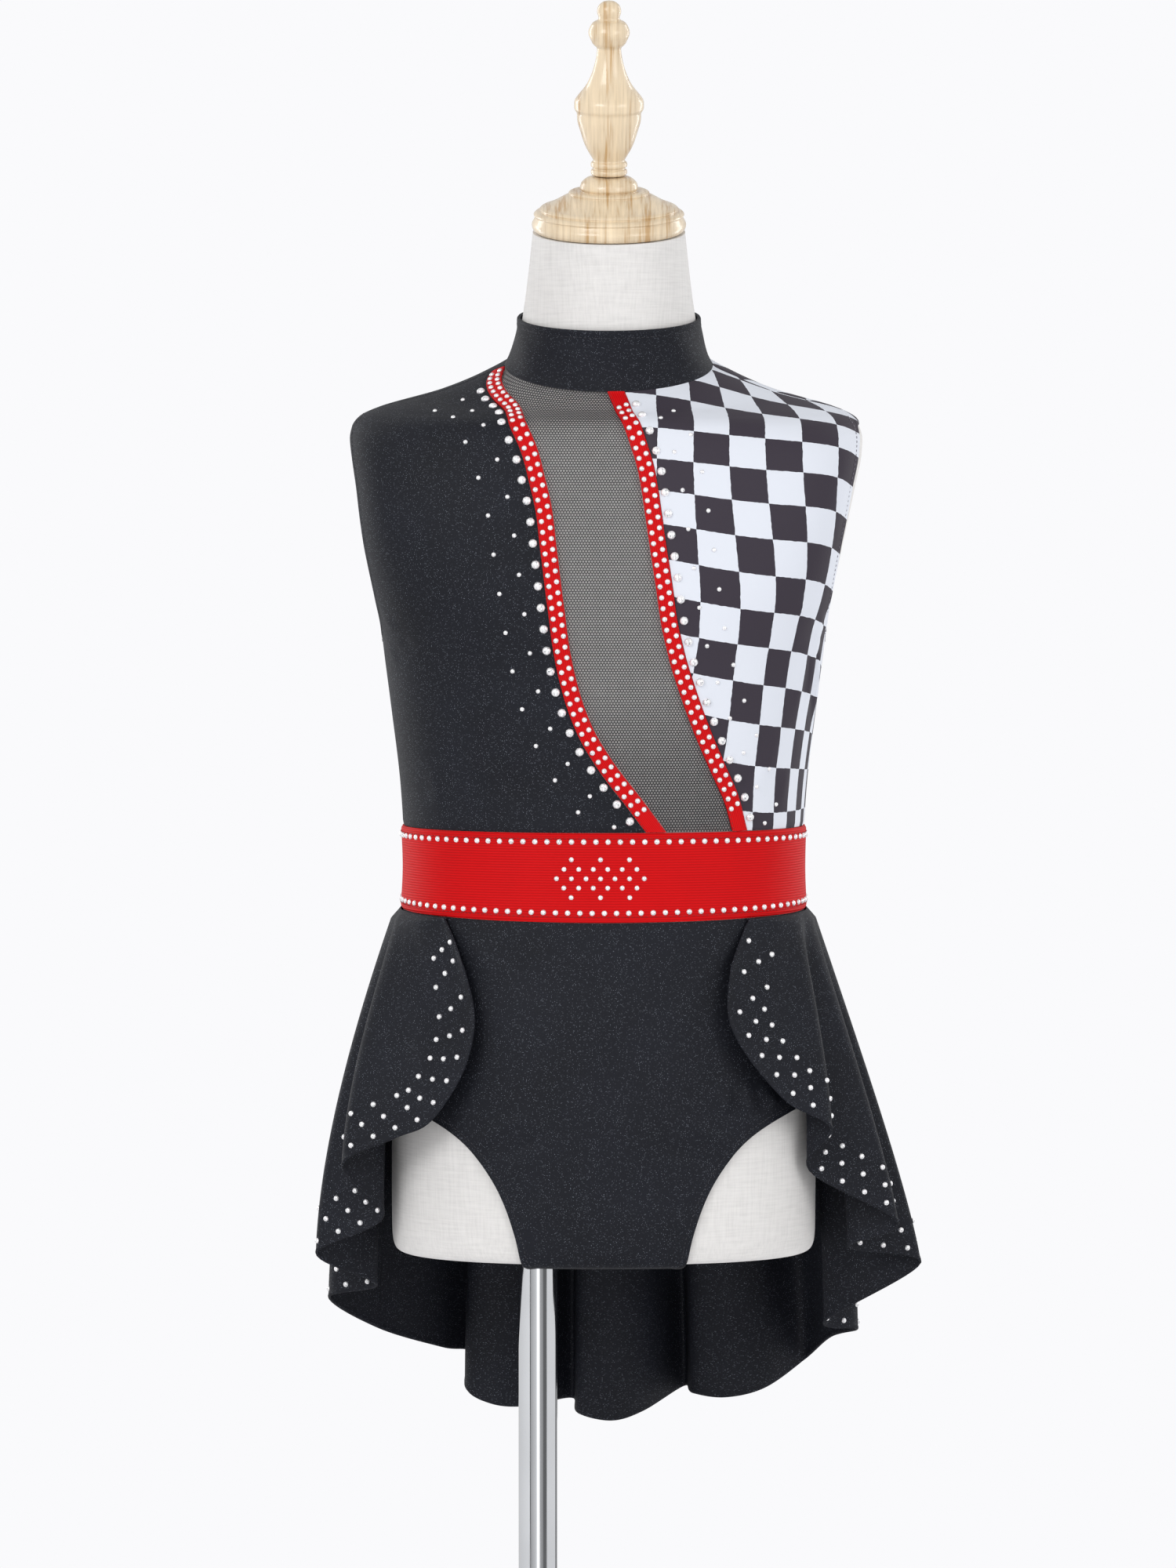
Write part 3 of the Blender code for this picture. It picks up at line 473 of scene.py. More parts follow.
class Finishes(PropertyGroup):
    """Colours of the costume and the form."""

    black: colour_property("Black knit", "Ground of the glitter knit", "#12141c")
    # Glitter: the foil specks' own colour, made pale enough to stand in for a painted glint as
    # well.
    glitter: colour_property("Glitter", "Foil specks of the glitter knit", "#868c98")
    white: colour_property("White check", "White squares of the print", "#dadee7")
    ink: colour_property("Black check", "Black squares of the print", "#36303a")
    red: colour_property("Red elastic", "Belt and bindings", "#ca060c")
    net: colour_property("Net", "Threads of the net insert", "#1d1c20")
    linen: colour_property("Linen", "Cover of the dress form", "#dddbd9")
    wood: colour_property("Wood", "Lacquered maple of cap and finial", "#dfcbac")
    grain: colour_property("Grain", "Darker streaks of the maple", "#c09c6c")
    chrome: colour_property("Chrome", "Plated pole and base", "#e3e5e9")
    stone: colour_property("Stones", "Foil-backed crystal", "#f4f5f8")


class StageSizes(PropertyGroup):
    """Camera and light of the studio."""

    distance: length_property("Camera distance", "From the lens to the middle", PHOTO_DISTANCE)
    tilt: FloatProperty(name="Camera tilt", description="How far the camera looks down",
                        subtype="ANGLE", unit="ROTATION", default=PHOTO_TILT)
    view_height: length_property("View height", "Height of the picture at the object", PHOTO_HEIGHT)
    backdrop: colour_property("Backdrop", "Paper-white surround", "#fafafc")
    key: FloatProperty(name="Key light", description="Power of the main soft box, in watts",
                       default=58.0, min=0)
    fill: FloatProperty(name="Fill light", description="Power of the second box, in watts",
                        default=30.0, min=0)
    rim: FloatProperty(name="Rim lights", description="Power of each strip behind, in watts",
                       default=13.0, min=0)
    ambient: FloatProperty(name="Ambient", description="Brightness of the white room",
                           default=0.62, min=0)


def settings():
    """The four groups of values that the operators read."""
    scene = bpy.context.scene
    return scene.costume_cloth, scene.costume_stones, scene.costume_finishes, scene.costume_stage


def column(table, columns, name, scale=1.0):
    """One named column of a table as an array."""
    place = columns.index(name)
    return np.array([row[place] for row in table], float) * scale


def smooth(x, knots, values):
    """Monotone cubic through the knots: no overshoot between the rows of a table."""
    steps = np.diff(knots)
    slopes = np.diff(values) / steps
    tangents = np.zeros(len(knots))
    tangents[0], tangents[-1] = slopes[0], slopes[-1]
    for i in range(1, len(knots) - 1):
        if slopes[i - 1] * slopes[i] > 0:
            before, after = 2 * steps[i] + steps[i - 1], steps[i] + 2 * steps[i - 1]
            tangents[i] = (before + after) / (before / slopes[i - 1] + after / slopes[i])
    i = np.clip(np.searchsorted(knots, x) - 1, 0, len(knots) - 2)
    t = np.clip((x - knots[i]) / steps[i], 0, 1)
    ends = values[i] * (1 + 2 * t) * (1 - t) ** 2 + values[i + 1] * t * t * (3 - 2 * t)
    return ends + steps[i] * (tangents[i] * t * (1 - t) ** 2 - tangents[i + 1] * t * t * (1 - t))


LEVELS = column(SECTIONS, SECTION_COLUMNS, "level")


def section(level, name):
    """One measure of the form's section at a level."""
    return smooth(level, LEVELS, column(SECTIONS, SECTION_COLUMNS, name))


def form_point(angle, level):
    """The form's own surface, a superellipse at each level, from angles in radians."""
    across, ahead = np.sin(angle), np.cos(angle)
    half = section(level, "half_width")
    depth = np.where(ahead > 0, section(level, "front"), section(level, "back"))
    fullness = section(level, "fullness")
    reach = (np.abs(across / half) ** fullness + np.abs(ahead / depth) ** fullness)
    reach = reach ** (-1 / fullness)
    lean = np.radians(section(level, "lean"))
    x = section(level, "shift_x") + reach * across
    y = section(level, "shift_y") - reach * ahead * np.cos(lean)
    z = section(level, "height") - reach * ahead * np.sin(lean)
    return np.stack([x, y, z], -1) * MM


def form_slopes(angle, level):
    """How the surface runs with a radian of angle and with a millimetre of level."""
    turn, rise = 0.004, 0.6
    by_angle = form_point(angle + turn, level) - form_point(angle - turn, level)
    by_level = form_point(angle, level + rise) - form_point(angle, level - rise)
    return by_angle / (2 * turn), by_level / (2 * rise)


def body_point(angle, level, out):
    """A place on the body, moved out along its normal."""
    angle, level = np.broadcast_arrays(np.asarray(angle, float), np.asarray(level, float))
    normal = np.cross(*form_slopes(angle, level))
    normal /= np.linalg.norm(normal, axis=-1, keepdims=True)
    return form_point(angle, level) + normal * out


def unit(vectors):
    return vectors / np.linalg.norm(vectors, axis=-1, keepdims=True)


def steps_to(way, first, second):
    """How much of two slopes, first and second, adds up to way on the surface they span.

    With p for way, the normal equations are a (f f) + b (f s) = p f and a (f s) + b (s s) = p s.
    """
    aa, ab, bb = [(p * q).sum(-1) for p, q in ((first, first), (first, second), (second, second))]
    a, b = (way * first).sum(-1), (way * second).sum(-1)
    det = aa * bb - ab * ab
    return (a * bb - b * ab) / det, (b * aa - a * ab) / det


def aside(line, distance):
    """A line on the body, moved along the surface, to the side with the larger angle."""
    angle, level = line[:, 0], line[:, 1]
    by_angle, by_level = form_slopes(angle, level)
    run = unit(np.gradient(form_point(angle, level), axis=0))
    side = unit(np.cross(run, unit(np.cross(by_angle, by_level)))) * distance
    return line + np.stack(steps_to(side, by_angle, by_level), -1)


def run_of(points):
    """Length along a row of points, from its first."""
    return np.insert(np.cumsum(np.linalg.norm(np.diff(points, axis=0), axis=1)), 0, 0)


def read_at(at, run, line):
    """The two columns of a line, read at the given lengths of its run."""
    return np.stack([np.interp(at, run, line[:, 0]), np.interp(at, run, line[:, 1])], -1)


def along(line, share):
    """Places on a line at the given shares of its length over the body."""
    run = run_of(form_point(line[:, 0], line[:, 1]))
    return read_at(share * run[-1], run, line)


def binding_edge(table, distance):
    """A line beside a binding's middle, stopped one seam clear of belt, collar and shoulder."""
    share = np.linspace(0, 1, 241)
    knots = np.linspace(0, 1, len(table))
    angle = np.radians(smooth(share, knots, column(table, BINDING_COLUMNS, "angle")))
    level = smooth(share, knots, column(table, BINDING_COLUMNS, "level"))
    middle = along(np.stack([angle, level], -1), np.linspace(0, 1, 121))
    line = along(aside(middle, distance), np.linspace(0, 1, 4001))
    kept = ((line[:, 1] > BELT_TOP + SEAM / MM) & (line[:, 1] < NECK_SEAM - SEAM / MM)
            & (line[:, 0] > SIDE_SEAM - math.pi / 2))
    return line[kept]


def angle_at_depth(level, depth):
    """The angle at which the body's front is a given depth before its middle plane."""
    depth = depth / MM
    front, half = section(level, "front"), section(level, "half_width")
    fullness = section(level, "fullness")
    x = half * (1 - (np.abs(depth) / front) ** fullness) ** (1 / fullness)
    return np.arctan2(x, depth)


def outer_edge(side, back=False, top=NECK_SEAM - SEAM / MM):
    """Side seam, armhole and shoulder seam from the belt up, as angle and level."""
    armhole = np.linspace(0, math.pi, 41)[1:-1]
    middle, half = (SHOULDER_TIP + ARMPIT) / 2, (SHOULDER_TIP - ARMPIT) / 2
    below = np.linspace(BELT_TOP + SEAM / MM, ARMPIT, 12)
    beside = middle - half * np.cos(armhole)
    above = np.linspace(SHOULDER_TIP, top, 16)
    level = np.concatenate([below, beside, above])
    bow = np.sin(armhole) ** np.where(beside > middle, ARMHOLE_POWER[side], 1)
    depth = np.concatenate([0 * below, ARMHOLE_DEPTH[side] * bow, 0 * above])
    angle = np.minimum(angle_at_depth(level, depth), math.pi / 2 - SIDE_SEAM)
    if back:
        angle = math.pi - angle
    return np.stack([-angle if side == "right" else angle, level], -1)


def belt_foot(angle):
    """The belt's lower edge, which dips at the front."""
    return BELT_FOOT - BELT_DIP * np.cos(angle)


def brief_edge(side, back):
    """Leg opening and side seam from the form's underside up, as angle and level."""
    leg = column(LEG_OPENING, LEG_COLUMNS, "level")
    angle = np.radians(column(LEG_OPENING, LEG_COLUMNS, "back_angle" if back else "front_angle"))
    seam = math.pi / 2 + (SIDE_SEAM if back else -SIDE_SEAM)
    angle = np.maximum(angle, seam) if back else np.minimum(angle, seam)
    share, knots = np.linspace(1, 0, 60), np.linspace(0, 1, len(leg))
    above = np.linspace(leg[0], belt_foot(seam) - SEAM / MM, 12)[1:]
    levels = np.concatenate([smooth(share, knots, leg), above])
    angles = np.concatenate([smooth(share, knots, angle), np.full(len(above), seam)])
    return np.stack([-angles if side == "right" else angles, levels], -1)


def clear_of_body(points, distance):
    """Points moved straight out from the body's axis until they clear the form."""
    x, y, z = points[..., 0], points[..., 1], points[..., 2]
    level = np.maximum(z / MM, HIP_LEVEL)
    half = section(level, "half_width") * MM + distance
    depth = np.where(y < 0, section(level, "front"), section(level, "back")) * MM + distance
    fullness = section(level, "fullness")
    inside = (np.abs(x / half) ** fullness + np.abs(y / depth) ** fullness) ** (1 / fullness)
    reach = np.where(z > section(FORM_FOOT, "height") * MM - distance, np.maximum(1 / inside, 1), 1)
    return np.stack([x * reach, y * reach, z], -1)


def through(values, steps):
    """A smooth curve through the rows of an array, each span cut in equal steps."""
    before = np.concatenate([2 * values[:1] - values[1:2], values[:-2]])
    after = np.concatenate([values[2:], 2 * values[-1:] - values[-2:-1]])
    start, end = values[:-1], values[1:]
    t = (np.arange(steps) / steps)[None, :, None]
    curve = 0.5 * (2 * start[:, None] + t * (end - before)[:, None]
                   + t ** 2 * (2 * before - 5 * start + 4 * end - after)[:, None]
                   + t ** 3 * (3 * start - before - 3 * end + after)[:, None])
    return np.concatenate([curve.reshape(-1, values.shape[1]), values[-1:]])


def skirt_grid():
    """The whole skirt as a grid: rows run down from the belt, columns round the hem."""
    hem = np.stack([column(HEM, HEM_COLUMNS, name, MM) for name in ("x", "y", "z")], -1)
    waist = np.radians(column(HEM, HEM_COLUMNS, "waist"))[:, None]
    flare = column(HEM, HEM_COLUMNS, "flare")[:, None]
    hem, waist = through(hem, HEM_STEPS), -through(waist, HEM_STEPS)[:, 0]
    top = body_point(waist, belt_foot(waist) - SKIRT_TOP, CLOTH_GAP + CLOTH_WALL + 3 * SEAM)
    drop = np.linspace(0, 0.98, DROP_STEPS + 1) ** ROW_CROWDING
    drop = np.unique(np.concatenate([drop, [PUFF_DROP / 2, PUFF_DROP], ROLLED_ROWS]))
    drop = drop[:, None, None]
    flare = 1 - (1 - drop) ** through(flare, HEM_STEPS)
    plan = top[None, :, :2] * (1 - flare) + hem[None, :, :2] * flare
    height = top[None, :, 2:] * (1 - drop) + hem[None, :, 2:] * drop
    sideways = np.clip(-1.4 * np.cos(2 * waist), 0, 1)[None, :, None]
    fade = np.clip(drop / PUFF_DROP, 0, 1) * (1 - drop) ** PUFF_FADE
    plan += unit(plan) * SKIRT_PUFF * sideways * fade
    points = clear_of_body(np.concatenate([plan, height], -1), SKIRT_CLEAR)
    points[0] = top
    return points


ARC_LEVELS = np.arange(FORM_FOOT, FORM_TOP + 1, 2.0)
ARC_ANGLES = np.radians(np.arange(-200, 361, 2.0))


def arc_table():
    """Length round the body from the front's middle, for each level and angle of a grid."""
    points = form_point(ARC_ANGLES[None, :], ARC_LEVELS[:, None])
    steps = np.linalg.norm(np.diff(points, axis=1), axis=-1)
    run = np.concatenate([np.zeros((len(ARC_LEVELS), 1)), np.cumsum(steps, axis=1)], 1)
    return run - run[:, [100]]


ARC_RUN = arc_table()


def arc(angle, level):
    """Length round the body in metres, by straight interpolation in the table."""
    angle, level = np.broadcast_arrays(np.asarray(angle, float), np.asarray(level, float))
    column_at = np.clip((angle - ARC_ANGLES[0]) / (ARC_ANGLES[1] - ARC_ANGLES[0]), 0,
                        len(ARC_ANGLES) - 1.001)
    row_at = np.clip((level - ARC_LEVELS[0]) / 2.0, 0, len(ARC_LEVELS) - 1.001)
    i, j = row_at.astype(int), column_at.astype(int)
    s, t = row_at - i, column_at - j
    return ((ARC_RUN[i, j] * (1 - t) + ARC_RUN[i, j + 1] * t) * (1 - s)
            + (ARC_RUN[i + 1, j] * (1 - t) + ARC_RUN[i + 1, j + 1] * t) * s)


def mesh_object(name, points, quads, finish, triangles=(), uv=None, sharp=50):
    """A new object from arrays: points, four-sided faces, then three-sided ones."""
    quads = np.asarray(quads, np.int32).reshape(-1, 4)
    triangles = np.asarray(triangles, np.int32).reshape(-1, 3)
    corners = np.concatenate([quads.ravel(), triangles.ravel()])
    starts = np.concatenate([np.arange(len(quads)) * 4,
                             len(quads) * 4 + np.arange(len(triangles)) * 3])
    mesh = bpy.data.meshes.new(name)
    mesh.vertices.add(len(points))
    mesh.vertices.foreach_set("co", np.asarray(points, np.float32).ravel())
    mesh.loops.add(len(corners))
    mesh.loops.foreach_set("vertex_index", corners)
    mesh.polygons.add(len(starts))
    mesh.polygons.foreach_set("loop_start", starts.astype(np.int32))
    mesh.update(calc_edges=True)
    if uv is not None:
        layer = mesh.uv_layers.new(name="Cloth")
        layer.data.foreach_set("uv", np.asarray(uv, np.float32)[corners].ravel())
    if sharp:
        mesh.shade_smooth()
        mesh.set_sharp_from_angle(angle=math.radians(sharp))
    mesh.materials.append(finish)
    piece = bpy.data.objects.new(name, mesh)
    bpy.context.scene.collection.objects.link(piece)
    return piece


def dress(piece, slot, *nodes):
    """Ride the piece on the body and hide the imported parts that it replaces; slot is not used."""
    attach(piece, BODY)
    if nodes:
        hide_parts(*nodes)
    return piece


def shell_quads(rows, columns):
    """A closed wall: outer grid, inner grid turned over, and a strip round their rim."""
    index = np.arange(rows * columns).reshape(rows, columns)
    face = np.stack([index[:-1, :-1], index[:-1, 1:], index[1:, 1:], index[1:, :-1]], -1)
    face = face.reshape(-1, 4)
    rim = np.concatenate([index[0], index[1:, -1], index[-1, -2::-1], index[-2:0:-1, 0]])
    after, count = np.roll(rim, -1), rows * columns
    edge = np.stack([after, rim, rim + count, after + count], -1)
    return np.concatenate([face, face[:, ::-1] + count, edge])


def shell(name, outer, inner, uv, finish):
    """A cloth wall between two grids of points, with real sizes as its UV map."""
    rows, columns = outer.shape[:2]
    points = np.concatenate([outer.reshape(-1, 3), inner.reshape(-1, 3)])
    flat = uv.reshape(-1, 2)
    return mesh_object(name, points, shell_quads(rows, columns), finish,
                       uv=np.concatenate([flat, flat]))


def crease_relief(angle, level, table):
    """Height of soft creases: each is a bell across its line, faded out along it."""
    height = np.zeros(np.broadcast(angle, level).shape)
    for mid_angle, mid_level, length, width, depth, turn in table:
        middle = math.radians(mid_angle)
        across = (arc(angle, level) - arc(middle, mid_level)) / MM
        up = level - mid_level
        slope = math.radians(turn)
        forward = across * math.cos(slope) + up * math.sin(slope)
        aside_by = up * math.cos(slope) - across * math.sin(slope)
        bow = 0.006 * forward ** 2 * math.copysign(1, depth)
        fade = np.clip(1 - (2 * forward / length) ** 2, 0, 1) ** 1.5
        height += depth * fade * np.exp(-((aside_by - bow * 0.2) / width) ** 2)
    return height * MM


def edge_shares(count, closeness=0.8):
    """Shares from 0 to 1 that lie closer together near both ends."""
    even = np.linspace(0, 1, count)
    return even * (1 - closeness) + (0.5 - 0.5 * np.cos(math.pi * even)) * closeness


def distance_in(grid, axis, end):
    """Length over a grid of points from one end of its rows or columns."""
    steps = np.linalg.norm(np.diff(grid, axis=axis), axis=-1)
    run = np.insert(np.cumsum(steps, axis=axis), 0, 0, axis=axis)
    if end:
        run = (run[-1:] if axis == 0 else run[:, -1:]) - run
    return run


def seam_relief(grid, cloth, ends=(1, 1, 1, 1)):
    """Cloth dips into its seams: a bell of depth seam_dip along each edge that is sewn.

    The edges are the first and last column, then the first and last row.
    """
    dip = np.zeros(grid.shape[:2])
    for sewn, axis, end in zip(ends, (1, 1, 0, 0), (0, 1, 0, 1)):
        if sewn:
            run = distance_in(grid, axis, end)
            dip = np.maximum(dip, np.exp(-(run / (1.6 * MM)) ** 2))
    return -dip * cloth.seam_dip


def hem_relief(run, cloth):
    """A turned hem: a raised band as wide as the hem, with a groove where it is stitched."""
    band = 1 / (1 + np.exp((run - cloth.hem_width) / (0.25 * MM)))
    groove = np.exp(-((run - cloth.hem_width * HEM_STITCH) / (0.4 * MM)) ** 2)
    rounded = np.exp(-(run / (0.5 * MM)) ** 2)
    return cloth.hem_rise * (band - 0.8 * groove * band - 0.9 * rounded)


def worn(name, places, finish, wall, relief=0.0, start=CLOTH_GAP, uv=None):
    """A cut piece worn on the body: its wall stands out from start, and relief moves its face."""
    angle, level = places[..., 0], places[..., 1]
    inner = body_point(angle, level, start)
    outer = body_point(angle, level, (start + wall + relief + 0 * angle)[..., None])
    if uv is None:
        uv = np.stack([arc(angle, level), level * MM], -1)
    return shell(name, outer, inner, uv, finish)


def finer(shares, steps):
    """The same shares with each span cut in equal steps."""
    at = np.linspace(0, len(shares) - 1, (len(shares) - 1) * steps + 1)
    return np.interp(at, np.arange(len(shares)), shares)


def spread(start, end, shares):
    """A grid of places between two edges, at the given shares of the way across."""
    share = shares[None, :, None]
    return start[:, None, :] * (1 - share) + end[:, None, :] * share


def settle(tree, node, values, links):
    """Fill a node's sockets with values, and join the sockets of other nodes to it."""
    for name, value in values.items():
        node.inputs[name].default_value = value
    for name, source in links.items():
        tree.links.new(source, node.inputs[name])


def add_node(tree, kind, values=None, links=None, stops=None, **options):
    """Add one node: values fill its sockets, links join sockets to it, stops fill its ramp.

    kind is the node's type without its usual start, ShaderNode.
    """
    node = tree.nodes.new("ShaderNode" + kind)
    for name, value in options.items():
        setattr(node, name, value)
    settle(tree, node, values or {}, links or {})
    if stops:
        ramp = node.color_ramp.elements
        for place, (position, colour) in enumerate(stops):
            element = ramp[place] if place < 2 else ramp.new(position)
            element.position = position
            element.color = colour
    return node


def new_finish(name):
    """An empty material with its shader and output, and the tree to build it in."""
    finish = bpy.data.materials.new(name)
    finish.use_nodes = True
    tree = finish.node_tree
    tree.nodes.clear()
    shader = add_node(tree, "BsdfPrincipled")
    add_node(tree, "OutputMaterial", links={"Surface": shader.outputs["BSDF"]})
    return finish, tree, shader


def scaled(colour, factor):
    """A colour made lighter or darker."""
    return (*[min(1.0, value * factor) for value in colour[:3]], 1.0)


def grey(value):
    return (value, value, value, 1.0)


def glitter_nodes(tree, shader, ground, colours):
    """Nylon and elastane jersey with foil dots: dark and soft, its pinpoint sparkle a painted glint
    in the dots' pale colour.

    The real dots are taken to be 0.2 mm across. They are drawn 0.3 mm across and GLITTER_PITCH
    apart. ground is the jersey's colour socket.
    """
    place = add_node(tree, "TexCoord").outputs["Object"]
    dots = add_node(tree, "TexVoronoi", {"Scale": 1 / GLITTER_PITCH, "Randomness": 1.0},
                    {"Vector": place})
    near = add_node(tree, "MapRange", {"From Min": 0.18, "From Max": 0.32,
                                       "To Min": 1.0, "To Max": 0.0},
                    {"Value": dots.outputs["Distance"]})
    chance = add_node(tree, "SeparateColor", links={0: dots.outputs["Color"]})
    lit = add_node(tree, "MapRange", {"From Min": 0.6, "From Max": 1.0},
                   {"Value": chance.outputs["Red"]})
    foil_glint_mask = add_node(tree, "Math", links={0: near.outputs[0], 1: lit.outputs[0]},
                    operation="MULTIPLY").outputs[0]
    # Dots picked at random take the pale glitter colour: partly the foil's own colour, partly a
    # painted glint that shows from every side.
    colour = add_node(tree, "Mix", {7: colours.glitter}, {0: foil_glint_mask, 6: ground}, data_type="RGBA")
    rough = add_node(tree, "MapRange", {"To Min": 0.68, "To Max": 0.3}, {"Value": foil_glint_mask})
    knit = add_node(tree, "TexNoise", {"Scale": 900.0, "Detail": 2.0}, {"Vector": place})
    raised = add_node(tree, "Math", {1: 0.6}, {0: foil_glint_mask, 2: knit.outputs[0]},
                      operation="MULTIPLY_ADD")
    bump = add_node(tree, "Bump", {"Strength": 0.3, "Distance": 0.0003},
                    {"Height": raised.outputs[0]})
    settle(tree, shader, {"IOR": 1.5, "Specular IOR Level": 0.24},
           {"Base Color": colour.outputs[2], "Roughness": rough.outputs[0],
            "Normal": bump.outputs[0]})


def black_knit_finish(name, colours):
    """Black foil-dotted jersey, with a slightly uneven dye."""
    finish, tree, shader = new_finish(name)
    place = add_node(tree, "TexCoord").outputs["Object"]
    cloud = add_node(tree, "TexNoise", {"Scale": 22.0, "Detail": 3.0}, {"Vector": place})
    ground = add_node(tree, "ValToRGB", links={0: cloud.outputs[0]},
                      stops=((0.3, scaled(colours.black, 0.82)),
                             (0.7, scaled(colours.black, 1.2))))
    glitter_nodes(tree, shader, ground.outputs[0], colours)
    return finish


def checked_finish(name, colours):
    """Smooth jersey printed in white and plum-black checks; its UV map counts the squares."""
    finish, tree, shader = new_finish(name)
    coords = add_node(tree, "TexCoord")
    wobble = add_node(tree, "TexNoise", {"Scale": 300.0, "Detail": 1.0},
                      {"Vector": coords.outputs["Object"]})
    shift = add_node(tree, "VectorMath", {1: (0.5, 0.5, 0.5)},
                     {0: wobble.outputs["Color"]}, operation="SUBTRACT")
    small = add_node(tree, "VectorMath", {"Scale": 0.035}, {0: shift.outputs[0]}, operation="SCALE")
    moved = add_node(tree, "VectorMath", links={0: coords.outputs["UV"],
                                                1: small.outputs[0]},
                     operation="ADD")
    flat = add_node(tree, "VectorMath", {1: (1.0, 1.0, 0.0), 2: (0.0, 0.0, 0.5)},
                    {0: moved.outputs[0]}, operation="MULTIPLY_ADD")
    squares = add_node(tree, "TexChecker", {"Scale": 1.0, 1: (0, 0, 0, 1),
                                            2: (1, 1, 1, 1)},
                       {"Vector": flat.outputs[0]})
    ground = add_node(tree, "Mix", {6: colours.white, 7: colours.ink},
                      {0: squares.outputs["Fac"]}, data_type="RGBA")
    knit = add_node(tree, "TexNoise", {"Scale": 900.0, "Detail": 2.0},
                    {"Vector": coords.outputs["Object"]})
    bump = add_node(tree, "Bump", {"Strength": 0.2, "Distance": 0.0003},
                    {"Height": knit.outputs[0]})
    settle(tree, shader, {"Roughness": 0.62, "Specular IOR Level": 0.25},
           {"Base Color": ground.outputs[2], "Normal": bump.outputs[0]})
    return finish


def elastic_finish(name, colours, direction, pitch, height):
    """Woven red elastic: satin polyester with ribs along it, and painted shade that darkens the
    valleys between them.

    Ribs are 0.7 mm apart on the real belt, and drawn at pitch so that they show.
    """
    finish, tree, shader = new_finish(name)
    coords = add_node(tree, "TexCoord")
    ribs = add_node(tree, "TexWave", {"Scale": math.pi / 10 / pitch,
                                      "Distortion": 0.0},
                    {"Vector": coords.outputs["UV"]}, bands_direction=direction)
    cloud = add_node(tree, "TexNoise", {"Scale": 60.0, "Detail": 4.0},
                     {"Vector": coords.outputs["Object"]})
    # The ribs darken the colour in their valleys, which is painted shade. The cloud is the dye's
    # own uneven tone.
    tone = add_node(tree, "Math", {1: 0.35}, {0: cloud.outputs[0],
                                              2: ribs.outputs["Fac"]},
                    operation="MULTIPLY_ADD")
    ramp = add_node(tree, "ValToRGB", links={0: tone.outputs[0]},
                    stops=((0.05, scaled(colours.red, 0.74)), (1.0, scaled(colours.red, 1.08))))
    bump = add_node(tree, "Bump", {"Strength": 0.6, "Distance": height},
                    {"Height": ribs.outputs["Fac"]})
    settle(tree, shader, {"Roughness": 0.58, "Specular IOR Level": 0.12},
           {"Base Color": ramp.outputs[0], "Normal": bump.outputs[0]})
    return finish


def net_finish(name, colours):
    """Nylon power net: see-through six-sided holes between dark threads.

    The real holes are about 1 mm apart, and are drawn NET_PITCH apart to show. Two rows of
    rectangular cells, half a cell apart, give the nearest middle of a six-sided lattice.
    """
    finish, tree, shader = new_finish(name)
    uv = add_node(tree, "TexCoord").outputs["UV"]
    size = (1.0, math.sqrt(3), 1.0)
    half = (0.5, math.sqrt(3) / 2, 0.5)
    cells = add_node(tree, "VectorMath", {"Scale": 1 / NET_PITCH}, {0: uv},
                     operation="SCALE").outputs[0]
    offsets = []
    for start in ((0, 0, 0), half):
        moved = add_node(tree, "VectorMath", {1: start}, {0: cells}, operation="SUBTRACT")
        wrapped = add_node(tree, "VectorMath", {1: size, 2: (0, 0, 0)},
                           {0: moved.outputs[0]}, operation="WRAP")
        centred = add_node(tree, "VectorMath", {1: half}, {0: wrapped.outputs[0]},
                           operation="SUBTRACT")
        flat = add_node(tree, "VectorMath", {1: (1, 1, 0)}, {0: centred.outputs[0]},
                        operation="MULTIPLY").outputs[0]
        reach = add_node(tree, "VectorMath", links={0: flat}, operation="LENGTH")
        offsets.append((flat, reach.outputs["Value"]))
    nearer = add_node(tree, "Math", links={0: offsets[1][1], 1: offsets[0][1]},
                      operation="LESS_THAN")
    offset = add_node(tree, "Mix", links={0: nearer.outputs[0], 4: offsets[0][0],
                                          5: offsets[1][0]}, data_type="VECTOR")
    folded = add_node(tree, "VectorMath", links={0: offset.outputs[1]}, operation="ABSOLUTE")
    slant = add_node(tree, "VectorMath", {1: (0.5, math.sqrt(3) / 2, 0)},
                     {0: folded.outputs[0]}, operation="DOT_PRODUCT")
    split = add_node(tree, "SeparateXYZ", links={0: folded.outputs[0]})
    edge = add_node(tree, "Math", links={0: slant.outputs["Value"],
                                         1: split.outputs["X"]},
                    operation="MAXIMUM")
    # Towards the belt the holes close up: painted shade that darkens the net above the belt.
    height = add_node(tree, "SeparateXYZ", links={0: uv}).outputs["Y"]
    belt_shade = add_node(tree, "MapRange", {"From Min": 0.725, "From Max": 0.80,
                                        "To Min": -0.05, "To Max": 0.0},
                     {"Value": height})
    hole = add_node(tree, "Math", {1: 0.345}, {0: belt_shade.outputs[0]}, operation="ADD")
    rim = add_node(tree, "Math", {1: 0.06}, {0: hole.outputs[0]}, operation="ADD")
    thread = add_node(tree, "MapRange", {"To Min": 0.02, "To Max": 0.95},
                      {"Value": edge.outputs[0], "From Min": hole.outputs[0],
                       "From Max": rim.outputs[0]})
    shade = add_node(tree, "MapRange", {"From Min": 0.36, "From Max": 0.5},
                     {"Value": edge.outputs[0]})
    colour = add_node(tree, "ValToRGB", links={0: shade.outputs[0]},
                      stops=((0.0, scaled(colours.net, 0.8)), (1.0, scaled(colours.net, 1.5))))
    settle(tree, shader, {"Roughness": 0.5, "Sheen Weight": 0.2},
           {"Alpha": thread.outputs[0], "Base Color": colour.outputs[0]})
    return finish


